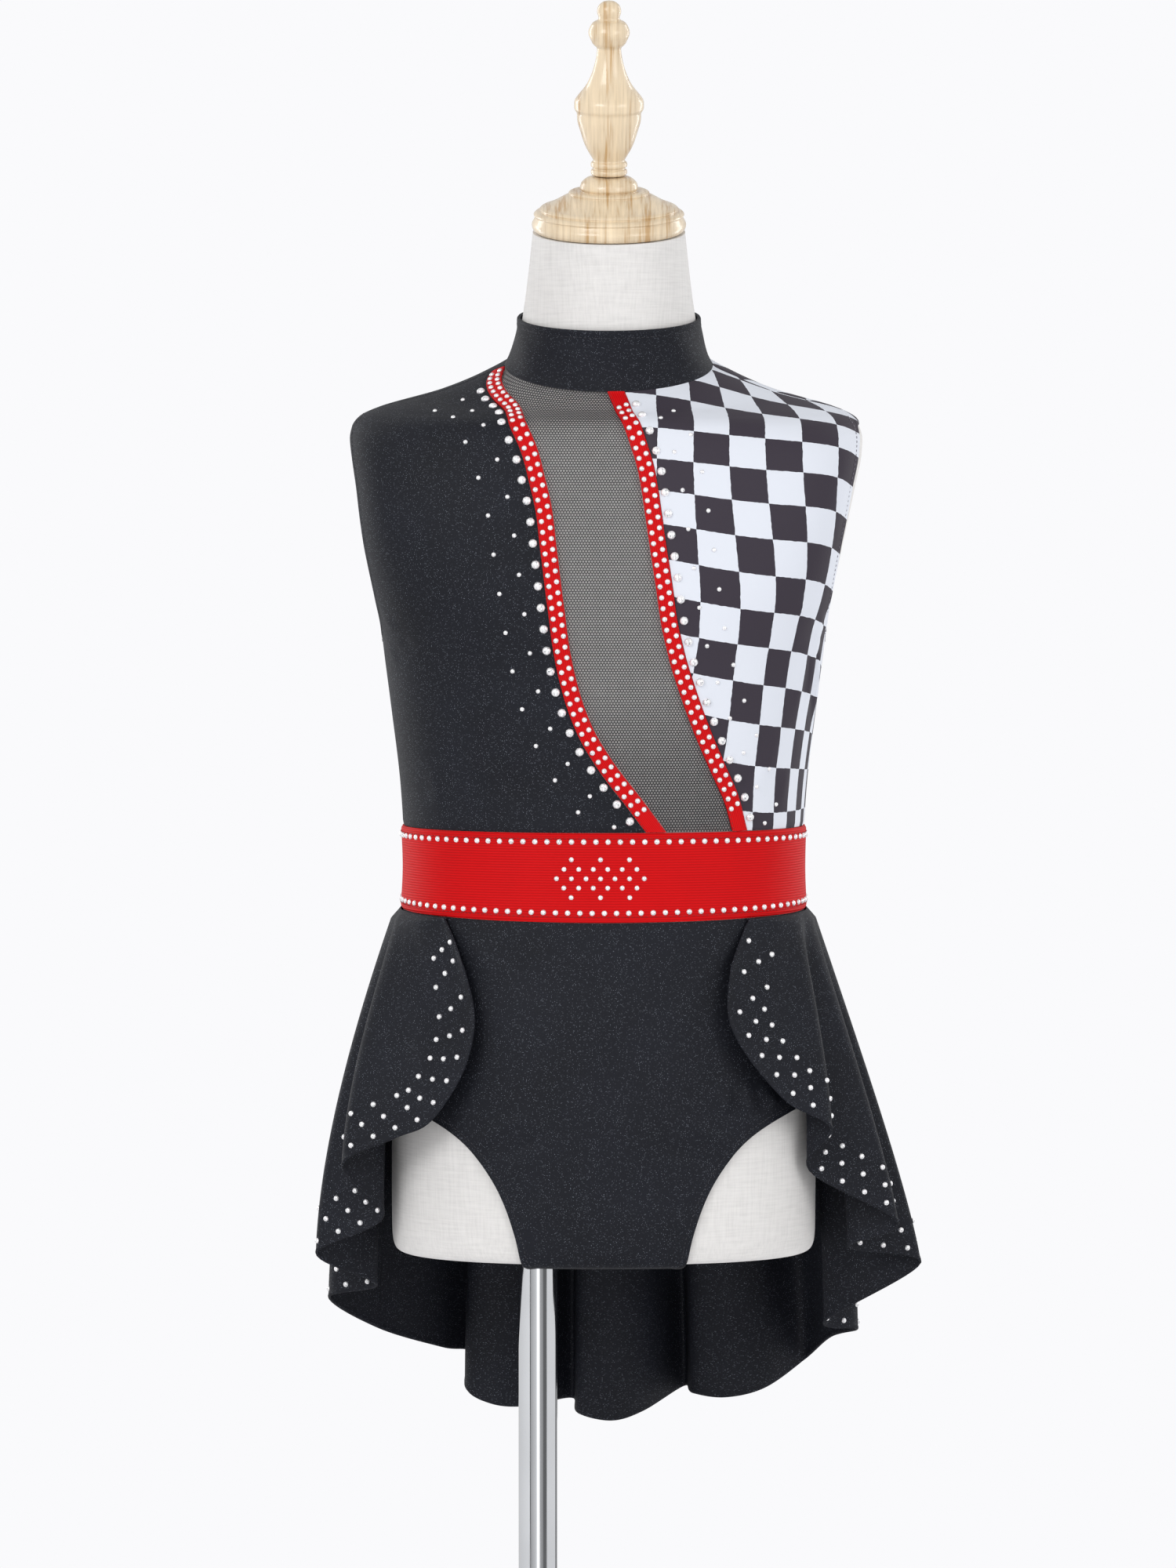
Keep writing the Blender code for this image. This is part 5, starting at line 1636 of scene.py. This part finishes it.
def stone_shape(sides=8):
    """A cut stone of unit diameter: girdle, a ring of facets and a flat table, on a flat foot.

    Rings of points at radius and height: r = 0.5 at 0.06, 0.40 at 0.24, 0.24 at 0.33.
    """
    turn = np.arange(sides) * 2 * math.pi / sides
    rings = []
    for radius, height, shift in ((0.5, -0.04, 0), (0.5, 0.06, 0), (0.40, 0.24, 0.5),
                                  (0.24, 0.33, 0)):
        at = turn + shift * 2 * math.pi / sides
        rings.append(np.stack([radius * np.cos(at), radius * np.sin(at), height + 0 * at], -1))
    points = np.concatenate(rings + [[[0, 0, 0.33]], [[0, 0, -0.04]]])
    i = np.arange(sides)
    j = (i + 1) % sides
    foot, girdle, mid, table = i, i + sides, i + 2 * sides, i + 3 * sides
    faces = [np.stack([foot, foot[j], girdle[j]], -1), np.stack([foot, girdle[j], girdle], -1),
             np.stack([girdle, girdle[j], mid], -1), np.stack([mid, girdle[j], mid[j]], -1),
             np.stack([mid, mid[j], table[j]], -1), np.stack([mid, table[j], table], -1),
             np.stack([table, table[j], np.full(sides, 4 * sides)], -1),
             np.stack([foot[j], foot, np.full(sides, 4 * sides + 1)], -1)]
    return points, np.concatenate(faces)


def stitch_shape(sides=5):
    """A stitch of unit length: a thread that rises from the cloth and dives back into it."""
    along_it = np.array([-0.5, -0.32, 0.0, 0.32, 0.5])
    height = np.array([-0.9, 0.4, 0.9, 0.4, -0.9])
    girth = np.array([0.6, 1.0, 1.1, 1.0, 0.6])
    turn = np.arange(sides) * 2 * math.pi / sides
    rings = np.stack([np.broadcast_to(along_it[:, None], (5, sides)),
                      girth[:, None] * np.cos(turn), height[:, None]
                      + girth[:, None] * np.sin(turn)], -1)
    index = np.arange(5 * sides).reshape(5, sides)
    after = np.roll(index, -1, axis=1)
    sides_of = np.stack([index[:-1], after[:-1], after[1:], index[:-1], after[1:], index[1:]],
                        -1).reshape(-1, 3)
    ends = []
    for k in range(1, sides - 1):
        ends += [(index[0, 0], index[0, k + 1], index[0, k]),
                 (index[4, 0], index[4, k], index[4, k + 1])]
    return rings.reshape(-1, 3), np.concatenate([sides_of[:, ::-1], np.array(ends)[:, ::-1]])


def frames_on(normals, runs):
    """Turning matrices whose rows are the run, the side and the normal of each place."""
    side = unit(np.cross(normals, runs))
    return np.stack([np.cross(side, normals), side, normals], 1)


def repeated(name, shape, places, frames_at, sizes, finish, sharp=0):
    """Many copies of one small shape, joined: each is scaled, turned and moved to its place."""
    points, faces = shape
    sizes = np.broadcast_to(np.asarray(sizes, float), (len(places), 3))
    copies = np.einsum("nkj,nji->nki", points[None] * sizes[:, None], frames_at)
    copies += places[:, None]
    shift = np.arange(len(places))[:, None, None] * len(points)
    return mesh_object(name, copies.reshape(-1, 3), np.zeros((0, 4)), finish,
                       (faces[None] + shift).reshape(-1, 3), sharp=sharp)


def body_frames(angle, level, out):
    """Places on the body at a height above it, with their normals and level directions."""
    places = body_point(angle, level, np.asarray(out)[..., None])
    by_angle, by_level = form_slopes(angle, level)
    normals = unit(np.cross(by_angle, by_level))
    return places, normals, unit(by_angle)


def stones(name, places, normals, runs, sizes, seed):
    """Set stones on their places, each turned at random, and give their facets a painted
    reflection, a random brightness each.
    """
    chance = np.random.default_rng(seed)
    finish = finish_named("foil_backed_crystal", crystal_finish, settings()[2])
    spin = chance.uniform(0, math.pi, len(places))[:, None]
    side = unit(np.cross(normals, runs))
    turned_runs = runs * np.cos(spin) + side * np.sin(spin)
    tilt = unit(normals + chance.normal(0, 0.035, normals.shape))
    size = np.stack([sizes, sizes, sizes * 1.1], -1)
    shape = stone_shape()
    piece = repeated(name, shape, places, frames_on(tilt, turned_runs), size, finish)
    facet_reflection = piece.data.attributes.new("FacetReflection", "FLOAT", "FACE")
    # Painted reflection: a random brightness for each of the facets, for the light or dark that it
    # would mirror.
    reflection_brightness = np.clip(chance.beta(2.0, 1.1, len(places) * len(shape[1])), 0, 1)
    facet_reflection.data.foreach_set("value", reflection_brightness)
    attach(piece, BODY)
    return piece


def line_places(line, pitch, start, stop):
    """Places at an even pitch along a line over the body, between two distances of its ends."""
    run = run_of(form_point(line[:, 0], line[:, 1]))
    count = int((run[-1] - start - stop) / pitch)
    return read_at(start + np.arange(count + 1) * pitch, run, line)


class COSTUME_OT_binding_stones(Operator):
    """Set two rows of stones on each binding"""

    bl_idname = "costume.binding_stones"
    bl_label = "Binding Stones"

    def execute(self, context):
        cloth, sizes, _, _ = settings()
        for side, table, seed in (("right", BINDING_RIGHT, 11), ("left", BINDING_LEFT, 12)):
            rows = []
            for place, distance in enumerate((-BINDING_STONES * MM, BINDING_STONES * MM)):
                line = binding_edge(table, distance)
                rows.append(line_places(line, sizes.line_pitch, 13.5 * MM
                                        + place * sizes.line_pitch / 2,
                                        (4 if side == "right" else 9.5) * MM))
            at = np.concatenate(rows)
            places, normals, runs = body_frames(at[:, 0], at[:, 1], np.full(
                len(at), CLOTH_GAP + cloth.wall + cloth.binding_rise))
            diameter = np.full(len(at), sizes.line * 0.94)
            stones("stones_binding_" + side, places, normals, runs, diameter, seed)
        return {"FINISHED"}


class COSTUME_OT_belt_stones(Operator):
    """Set a row of stones along each edge of the belt, and the motif of lozenges in front"""

    bl_idname = "costume.belt_stones"
    bl_label = "Belt Stones"

    def execute(self, context):
        sizes = settings()[1]
        rows = []
        angles = np.radians(np.linspace(-176, 176, 353))
        for level_of in (BELT_TOP - BELT_STONES[0] + 0 * angles,
                         belt_foot(angles) + BELT_STONES[1]):
            line = np.stack([angles, level_of], -1)
            rows.append(line_places(line, sizes.belt_pitch, 0, 0))
        motif = []
        for across in (-4, 0, 4):
            for right, up in LOZENGE:
                motif.append((across + right, up))
        motif = np.array(sorted(set(motif)), float) * sizes.motif_pitch / MM
        reach = section(MOTIF_SECTION, "front") * MOTIF_REACH
        angle = MOTIF_ANGLE + motif[:, 0] / reach
        rows.append(np.stack([angle, MOTIF_LEVEL + motif[:, 1] * MOTIF_RISE], -1))
        at = np.concatenate(rows)
        places, normals, runs = body_frames(at[:, 0], at[:, 1],
                                            np.full(len(at), CLOTH_GAP + BELT_WALL))
        diameter = np.full(len(at), sizes.line)
        diameter[-len(motif):] = sizes.line * 0.9
        stones("stones_belt", places, normals, runs, diameter, 21)
        return {"FINISHED"}


class COSTUME_OT_bodice_stones(Operator):
    """Set large stones beside the bindings and small ones in a zigzag beyond them"""

    bl_idname = "costume.bodice_stones"
    bl_label = "Bodice Stones"

    def execute(self, context):
        cloth, sizes, _, _ = settings()
        at, diameters = [], []
        for table, sign in ((BINDING_RIGHT, -1), (BINDING_LEFT, 1)):
            line = binding_edge(table, sign * LARGE_STONES * MM)
            large = line_places(line, LARGE_STEP * MM, 8 * MM, 10 * MM)
            at.append(large)
            diameters.append(np.full(len(large), sizes.large))
            for reach, start in SMALL_STONES:
                line = binding_edge(table, sign * reach * MM)
                small = line_places(line, SMALL_STEP * MM, start * MM, 12 * MM)
                at.append(small)
                diameters.append(np.full(len(small), sizes.small))
        at, diameter = np.concatenate(at), np.concatenate(diameters)
        kept = (np.abs(at[:, 0]) < math.radians(76)) & (at[:, 1] > BELT_TOP + 3)
        at, diameter = at[kept], diameter[kept]
        lift = CLOTH_GAP + cloth.wall + crease_relief(at[:, 0], at[:, 1], CREASES) * cloth.crease
        places, normals, runs = body_frames(at[:, 0], at[:, 1], lift)
        stones("stones_bodice", places, normals, runs, diameter, 31)
        return {"FINISHED"}


def on_grid(grid, row, column_at):
    """Values of a grid at rows and columns between its own, by straight interpolation."""
    i = np.clip(row.astype(int), 0, grid.shape[0] - 2)
    j = np.clip(column_at.astype(int), 0, grid.shape[1] - 2)
    s, t = (row - i)[:, None], (column_at - j)[:, None]
    return ((grid[i, j] * (1 - t) + grid[i, j + 1] * t) * (1 - s)
            + (grid[i + 1, j] * (1 - t) + grid[i + 1, j + 1] * t) * s)


def walk_in(points, normals, column_at, distance, step=1 * MM):
    """Rows and columns reached by walking over the cloth, square to the hem, from the hem.

    Each step solves for the change in row and column that moves a point along its direction.
    """
    by_column, by_row = np.gradient(points, axis=1), np.gradient(points, axis=0)
    row = np.full(len(column_at), points.shape[0] - 1.001)
    hem_run = on_grid(by_column, row, column_at)
    ahead = unit(np.cross(hem_run, on_grid(normals, row, column_at)))
    ahead *= np.sign((ahead * -on_grid(by_row, row, column_at)).sum(-1))[:, None]
    for _ in range(round(distance / step)):
        along_row, down = on_grid(by_column, row, column_at), on_grid(by_row, row, column_at)
        over, up = steps_to(ahead * step, along_row, down)
        column_at = np.clip(column_at + over, 0, points.shape[1] - 1.01)
        row = np.clip(row + up, 2, points.shape[0] - 1.001)
    return row, column_at


class COSTUME_OT_skirt_stones(Operator):
    """Scatter three staggered rows of stones above the hem and the front edges"""

    bl_idname = "costume.skirt_stones"
    bl_label = "Skirt Stones"

    def execute(self, context):
        cloth, sizes, _, _ = settings()
        points, normals = skirt_surface()
        hem_run = distance_in(points[-1:], 1, False)[0]
        found = []
        for place, distance in enumerate(HEM_STONES):
            run = np.arange((2 + place * 5) * MM, hem_run[-1] - 2 * MM, sizes.skirt_pitch)
            start = np.interp(run, hem_run, np.arange(len(hem_run)))
            row, column_at = walk_in(points, normals, start, distance * MM)
            low = on_grid(points, row, column_at)[:, 2] < (BELT_FOOT - 10) * MM
            found.append(np.stack([row, column_at], -1)[low])
        row, column_at = np.concatenate(found).T
        out = unit(on_grid(normals, row, column_at))
        runs = unit(on_grid(np.gradient(points, axis=1), row, column_at))
        places = on_grid(points, row, column_at) + out * cloth.skirt_wall / 2
        stones("stones_skirt", places, out, runs, np.full(len(places), sizes.line), 41)
        return {"FINISHED"}


def sew(name, lines, finish, cloth):
    """Lay stitches end to end along lines over the body; each line has its own height."""
    places, normals, runs = [], [], []
    for line, out in lines:
        at = line_places(line, cloth.stitch_pitch, cloth.stitch, cloth.stitch)
        ahead = np.gradient(form_point(at[:, 0], at[:, 1]), axis=0)
        place, normal, _ = body_frames(at[:, 0], at[:, 1], np.full(len(at), out))
        places.append(place)
        normals.append(normal)
        runs.append(unit(ahead))
    size = [cloth.stitch, cloth.thread, cloth.thread]
    places, normals, runs = [np.concatenate(part) for part in (places, normals, runs)]
    piece = repeated(name, stitch_shape(), places, frames_on(normals, runs), size, finish, 70)
    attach(piece, BODY)


def beside(line, distance):
    """A line over the body moved aside by a distance, evened out first."""
    return aside(along(line, np.linspace(0, 1, 400)), distance)


class COSTUME_OT_stitching(Operator):
    """Sew the hems, bindings and belt with rows of single stitches"""

    bl_idname = "costume.stitching"
    bl_label = "Stitching"

    def execute(self, context):
        cloth = settings()[0]
        black = finish_named("black_polyester_thread", thread_finish, linear("#2a2a30"))
        grey_thread = finish_named("grey_polyester_thread", thread_finish, linear("#77747f"))
        red = finish_named("red_polyester_thread", thread_finish, linear("#a80f16"))
        face = CLOTH_GAP + cloth.wall
        inset = cloth.hem_width * HEM_STITCH
        armholes = {}
        for side in ("right", "left"):
            sign = 1 if side == "right" else -1
            rows = []
            for back in (False, True):
                line = outer_edge(side, back)
                line = line[(line[:, 1] > ARMPIT + 0.5) & (line[:, 1] < SHOULDER_TIP - 0.5)]
                rows.append((beside(line, inset * sign * (-1 if back else 1)), face))
            armholes[side] = rows
        sew("stitches_armhole_right", armholes["right"], black, cloth)
        sew("stitches_armhole_left", armholes["left"], grey_thread, cloth)
        half = BINDING_WIDTH / 2 - 0.7 * MM
        lines = [(binding_edge(table, distance), face + 0.2 * MM)
                 for table in (BINDING_RIGHT, BINDING_LEFT) for distance in (-half, half)]
        sew("stitches_bindings", lines, red, cloth)
        angles = np.radians(np.linspace(-178, 178, 357))
        belt = [(np.stack([angles, line_of], -1), CLOTH_GAP + BELT_WALL)
                for line_of in (BELT_TOP - BELT_STITCH + 0 * angles,
                                belt_foot(angles) + BELT_STITCH)]
        sew("stitches_belt", belt, red, cloth)
        legs = []
        for side in ("right", "left"):
            for back in (False, True):
                line = brief_edge(side, back)
                line = line[line[:, 1] < LEG_OPENING[0][0] - 1]
                sign = (1 if side == "right" else -1) * (-1 if back else 1)
                legs.append((beside(line, inset * sign), face))
        sew("stitches_legs", legs, black, cloth)
        collar = [(np.stack([angles, collar_top(angles) - inset / MM], -1), face)]
        sew("stitches_collar", collar, black, cloth)
        return {"FINISHED"}


class COSTUME_OT_studio(Operator):
    """Set up the camera, the floor, the soft boxes, and the walls that chrome mirrors"""

    bl_idname = "costume.studio"
    bl_label = "Studio"

    def execute(self, context):
        stage = settings()[3]
        scene = context.scene
        tilt = stage.tilt
        target = np.array(PHOTO_MIDDLE)
        camera = bpy.data.cameras.new("studio_camera")
        camera.sensor_width = 36
        camera.lens = 36 * stage.distance / stage.view_height
        camera.clip_end = 60
        viewer = bpy.data.objects.new("studio_camera", camera)
        viewer.location = target + stage.distance * np.array([0, -math.cos(tilt), math.sin(tilt)])
        viewer.rotation_euler = (math.pi / 2 - tilt, 0, 0)
        scene.collection.objects.link(viewer)
        scene.camera = viewer
        scene.view_settings.view_transform = "Standard"

        floor_colour = tuple(stage.backdrop)
        radius = np.linspace(0.05, 9, 48)[:, None]
        turn = np.linspace(0, 2 * math.pi, 128, endpoint=False)[None, :]
        rings = np.stack([radius * np.sin(turn), -radius * np.cos(turn),
                          -0.001 + 0 * radius * turn], -1)
        index = np.arange(rings.size // 3).reshape(rings.shape[:2])
        after = np.roll(index, -1, axis=1)
        quads = np.stack([index[:-1], index[1:], after[1:], after[:-1]], -1)
        middle = np.full(index.shape[1], index.size)
        fan = np.stack([index[0], after[0], middle], -1)
        floor = mesh_object("studio_floor", np.concatenate([rings.reshape(-1, 3),
                                                            [[0, 0, -0.001]]]), quads,
                            finish_named("paper_white_floor", floor_finish, floor_colour), fan)
        floor.visible_glossy = False

        lights = (("key", (-1.9, -3.2, 2.5), 1.8, 1.8, stage.key),
                  ("fill", (2.4, -2.6, 1.7), 1.6, 2.0, stage.fill),
                  ("rim_left", (-1.7, 1.5, 1.3), 0.5, 2.0, stage.rim),
                  ("rim_right", (1.7, 1.5, 1.3), 0.5, 2.0, stage.rim))
        middle = np.array([0, 0, 0.75])
        for name, place, width, height, power in lights:
            light = bpy.data.lights.new(name, "AREA")
            light.shape = "RECTANGLE"
            light.size, light.size_y = width, height
            light.energy = power
            box = bpy.data.objects.new(name, light)
            box.location = place
            away = np.array(place) - middle
            box.rotation_euler = (math.atan2(math.hypot(away[0], away[1]), away[2]), 0,
                                  math.atan2(away[0], -away[1]))
            box.visible_camera = False
            scene.collection.objects.link(box)

        world = bpy.data.worlds.new("white_room")
        scene.world = world
        world.use_nodes = True
        tree = world.node_tree
        tree.nodes.clear()
        ray = add_node(tree, "LightPath")
        way = add_node(tree, "TexCoord").outputs["Generated"]
        parts = add_node(tree, "SeparateXYZ", links={0: way})
        ahead = add_node(tree, "Math", {1: -1.0}, {0: parts.outputs["Y"]}, operation="MULTIPLY")
        turn_to = add_node(tree, "Math", links={0: parts.outputs["X"],
                                                1: ahead.outputs[0]},
                           operation="ARCTAN2")
        share = add_node(tree, "Math", {1: 0.5 / math.pi, 2: 0.5},
                         {0: turn_to.outputs[0]}, operation="MULTIPLY_ADD")
        walls = add_node(tree, "ValToRGB", links={0: share.outputs[0]},
                         stops=[(angle / 360 + 0.5, grey(light)) for angle, light in WALLS])
        room = add_node(tree, "Background", {"Color": grey(1.0), "Strength": stage.ambient})
        mirrored = add_node(tree, "Background", {"Strength": 0.8}, {"Color": walls.outputs[0]})
        lit = add_node(tree, "MixShader", links={0: ray.outputs["Is Glossy Ray"],
                                                 1: room.outputs[0],
                                                 2: mirrored.outputs[0]})
        seen = add_node(tree, "Background", {"Color": floor_colour})
        mixed = add_node(tree, "MixShader", links={0: ray.outputs["Is Camera Ray"],
                                                   1: lit.outputs[0],
                                                   2: seen.outputs[0]})
        add_node(tree, "OutputWorld", links={"Surface": mixed.outputs[0]})
        return {"FINISHED"}


class COSTUME_PT_sidebar(Panel):
    """Lists the costume's pieces in the order that they are made"""

    bl_idname = "COSTUME_PT_sidebar"
    bl_label = "Circus Leotard"
    bl_space_type = "VIEW_3D"
    bl_region_type = "UI"
    bl_category = "Costume"

    def draw(self, context):
        for group in settings():
            box = self.layout.box()
            for name in group.__annotations__:
                box.prop(group, name)
        for operator in OPERATORS:
            self.layout.operator(operator.bl_idname)


GROUPS = {
    "costume_cloth": ClothSizes,
    "costume_stones": StoneSizes,
    "costume_finishes": Finishes,
    "costume_stage": StageSizes,
}
OPERATORS = (
    COSTUME_OT_linen_form, COSTUME_OT_turned_wood, COSTUME_OT_chrome_stand, COSTUME_OT_collar,
    COSTUME_OT_bodice, COSTUME_OT_net_insert, COSTUME_OT_bindings, COSTUME_OT_belt,
    COSTUME_OT_brief, COSTUME_OT_skirt, COSTUME_OT_binding_stones, COSTUME_OT_belt_stones,
    COSTUME_OT_bodice_stones, COSTUME_OT_skirt_stones, COSTUME_OT_stitching, COSTUME_OT_studio,
)


def register():
    for group in GROUPS.values():
        bpy.utils.register_class(group)
    for operator in OPERATORS:
        bpy.utils.register_class(operator)
    bpy.utils.register_class(COSTUME_PT_sidebar)
    for name, group in GROUPS.items():
        setattr(bpy.types.Scene, name, PointerProperty(type=group))


def unregister():
    for name in GROUPS:
        delattr(bpy.types.Scene, name)
    for registered in (COSTUME_PT_sidebar, *OPERATORS, *GROUPS.values()):
        bpy.utils.unregister_class(registered)


def main():
    """Register the add-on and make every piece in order."""
    register()
    bpy.ops.costume.linen_form()
    bpy.ops.costume.turned_wood()
    bpy.ops.costume.chrome_stand()
    bpy.ops.costume.collar()
    bpy.ops.costume.bodice()
    bpy.ops.costume.net_insert()
    bpy.ops.costume.bindings()
    bpy.ops.costume.belt()
    bpy.ops.costume.brief()
    bpy.ops.costume.skirt()
    bpy.ops.costume.binding_stones()
    bpy.ops.costume.belt_stones()
    bpy.ops.costume.bodice_stones()
    bpy.ops.costume.skirt_stones()
    bpy.ops.costume.stitching()
    bpy.ops.costume.studio()


if __name__ == "__main__":
    main()
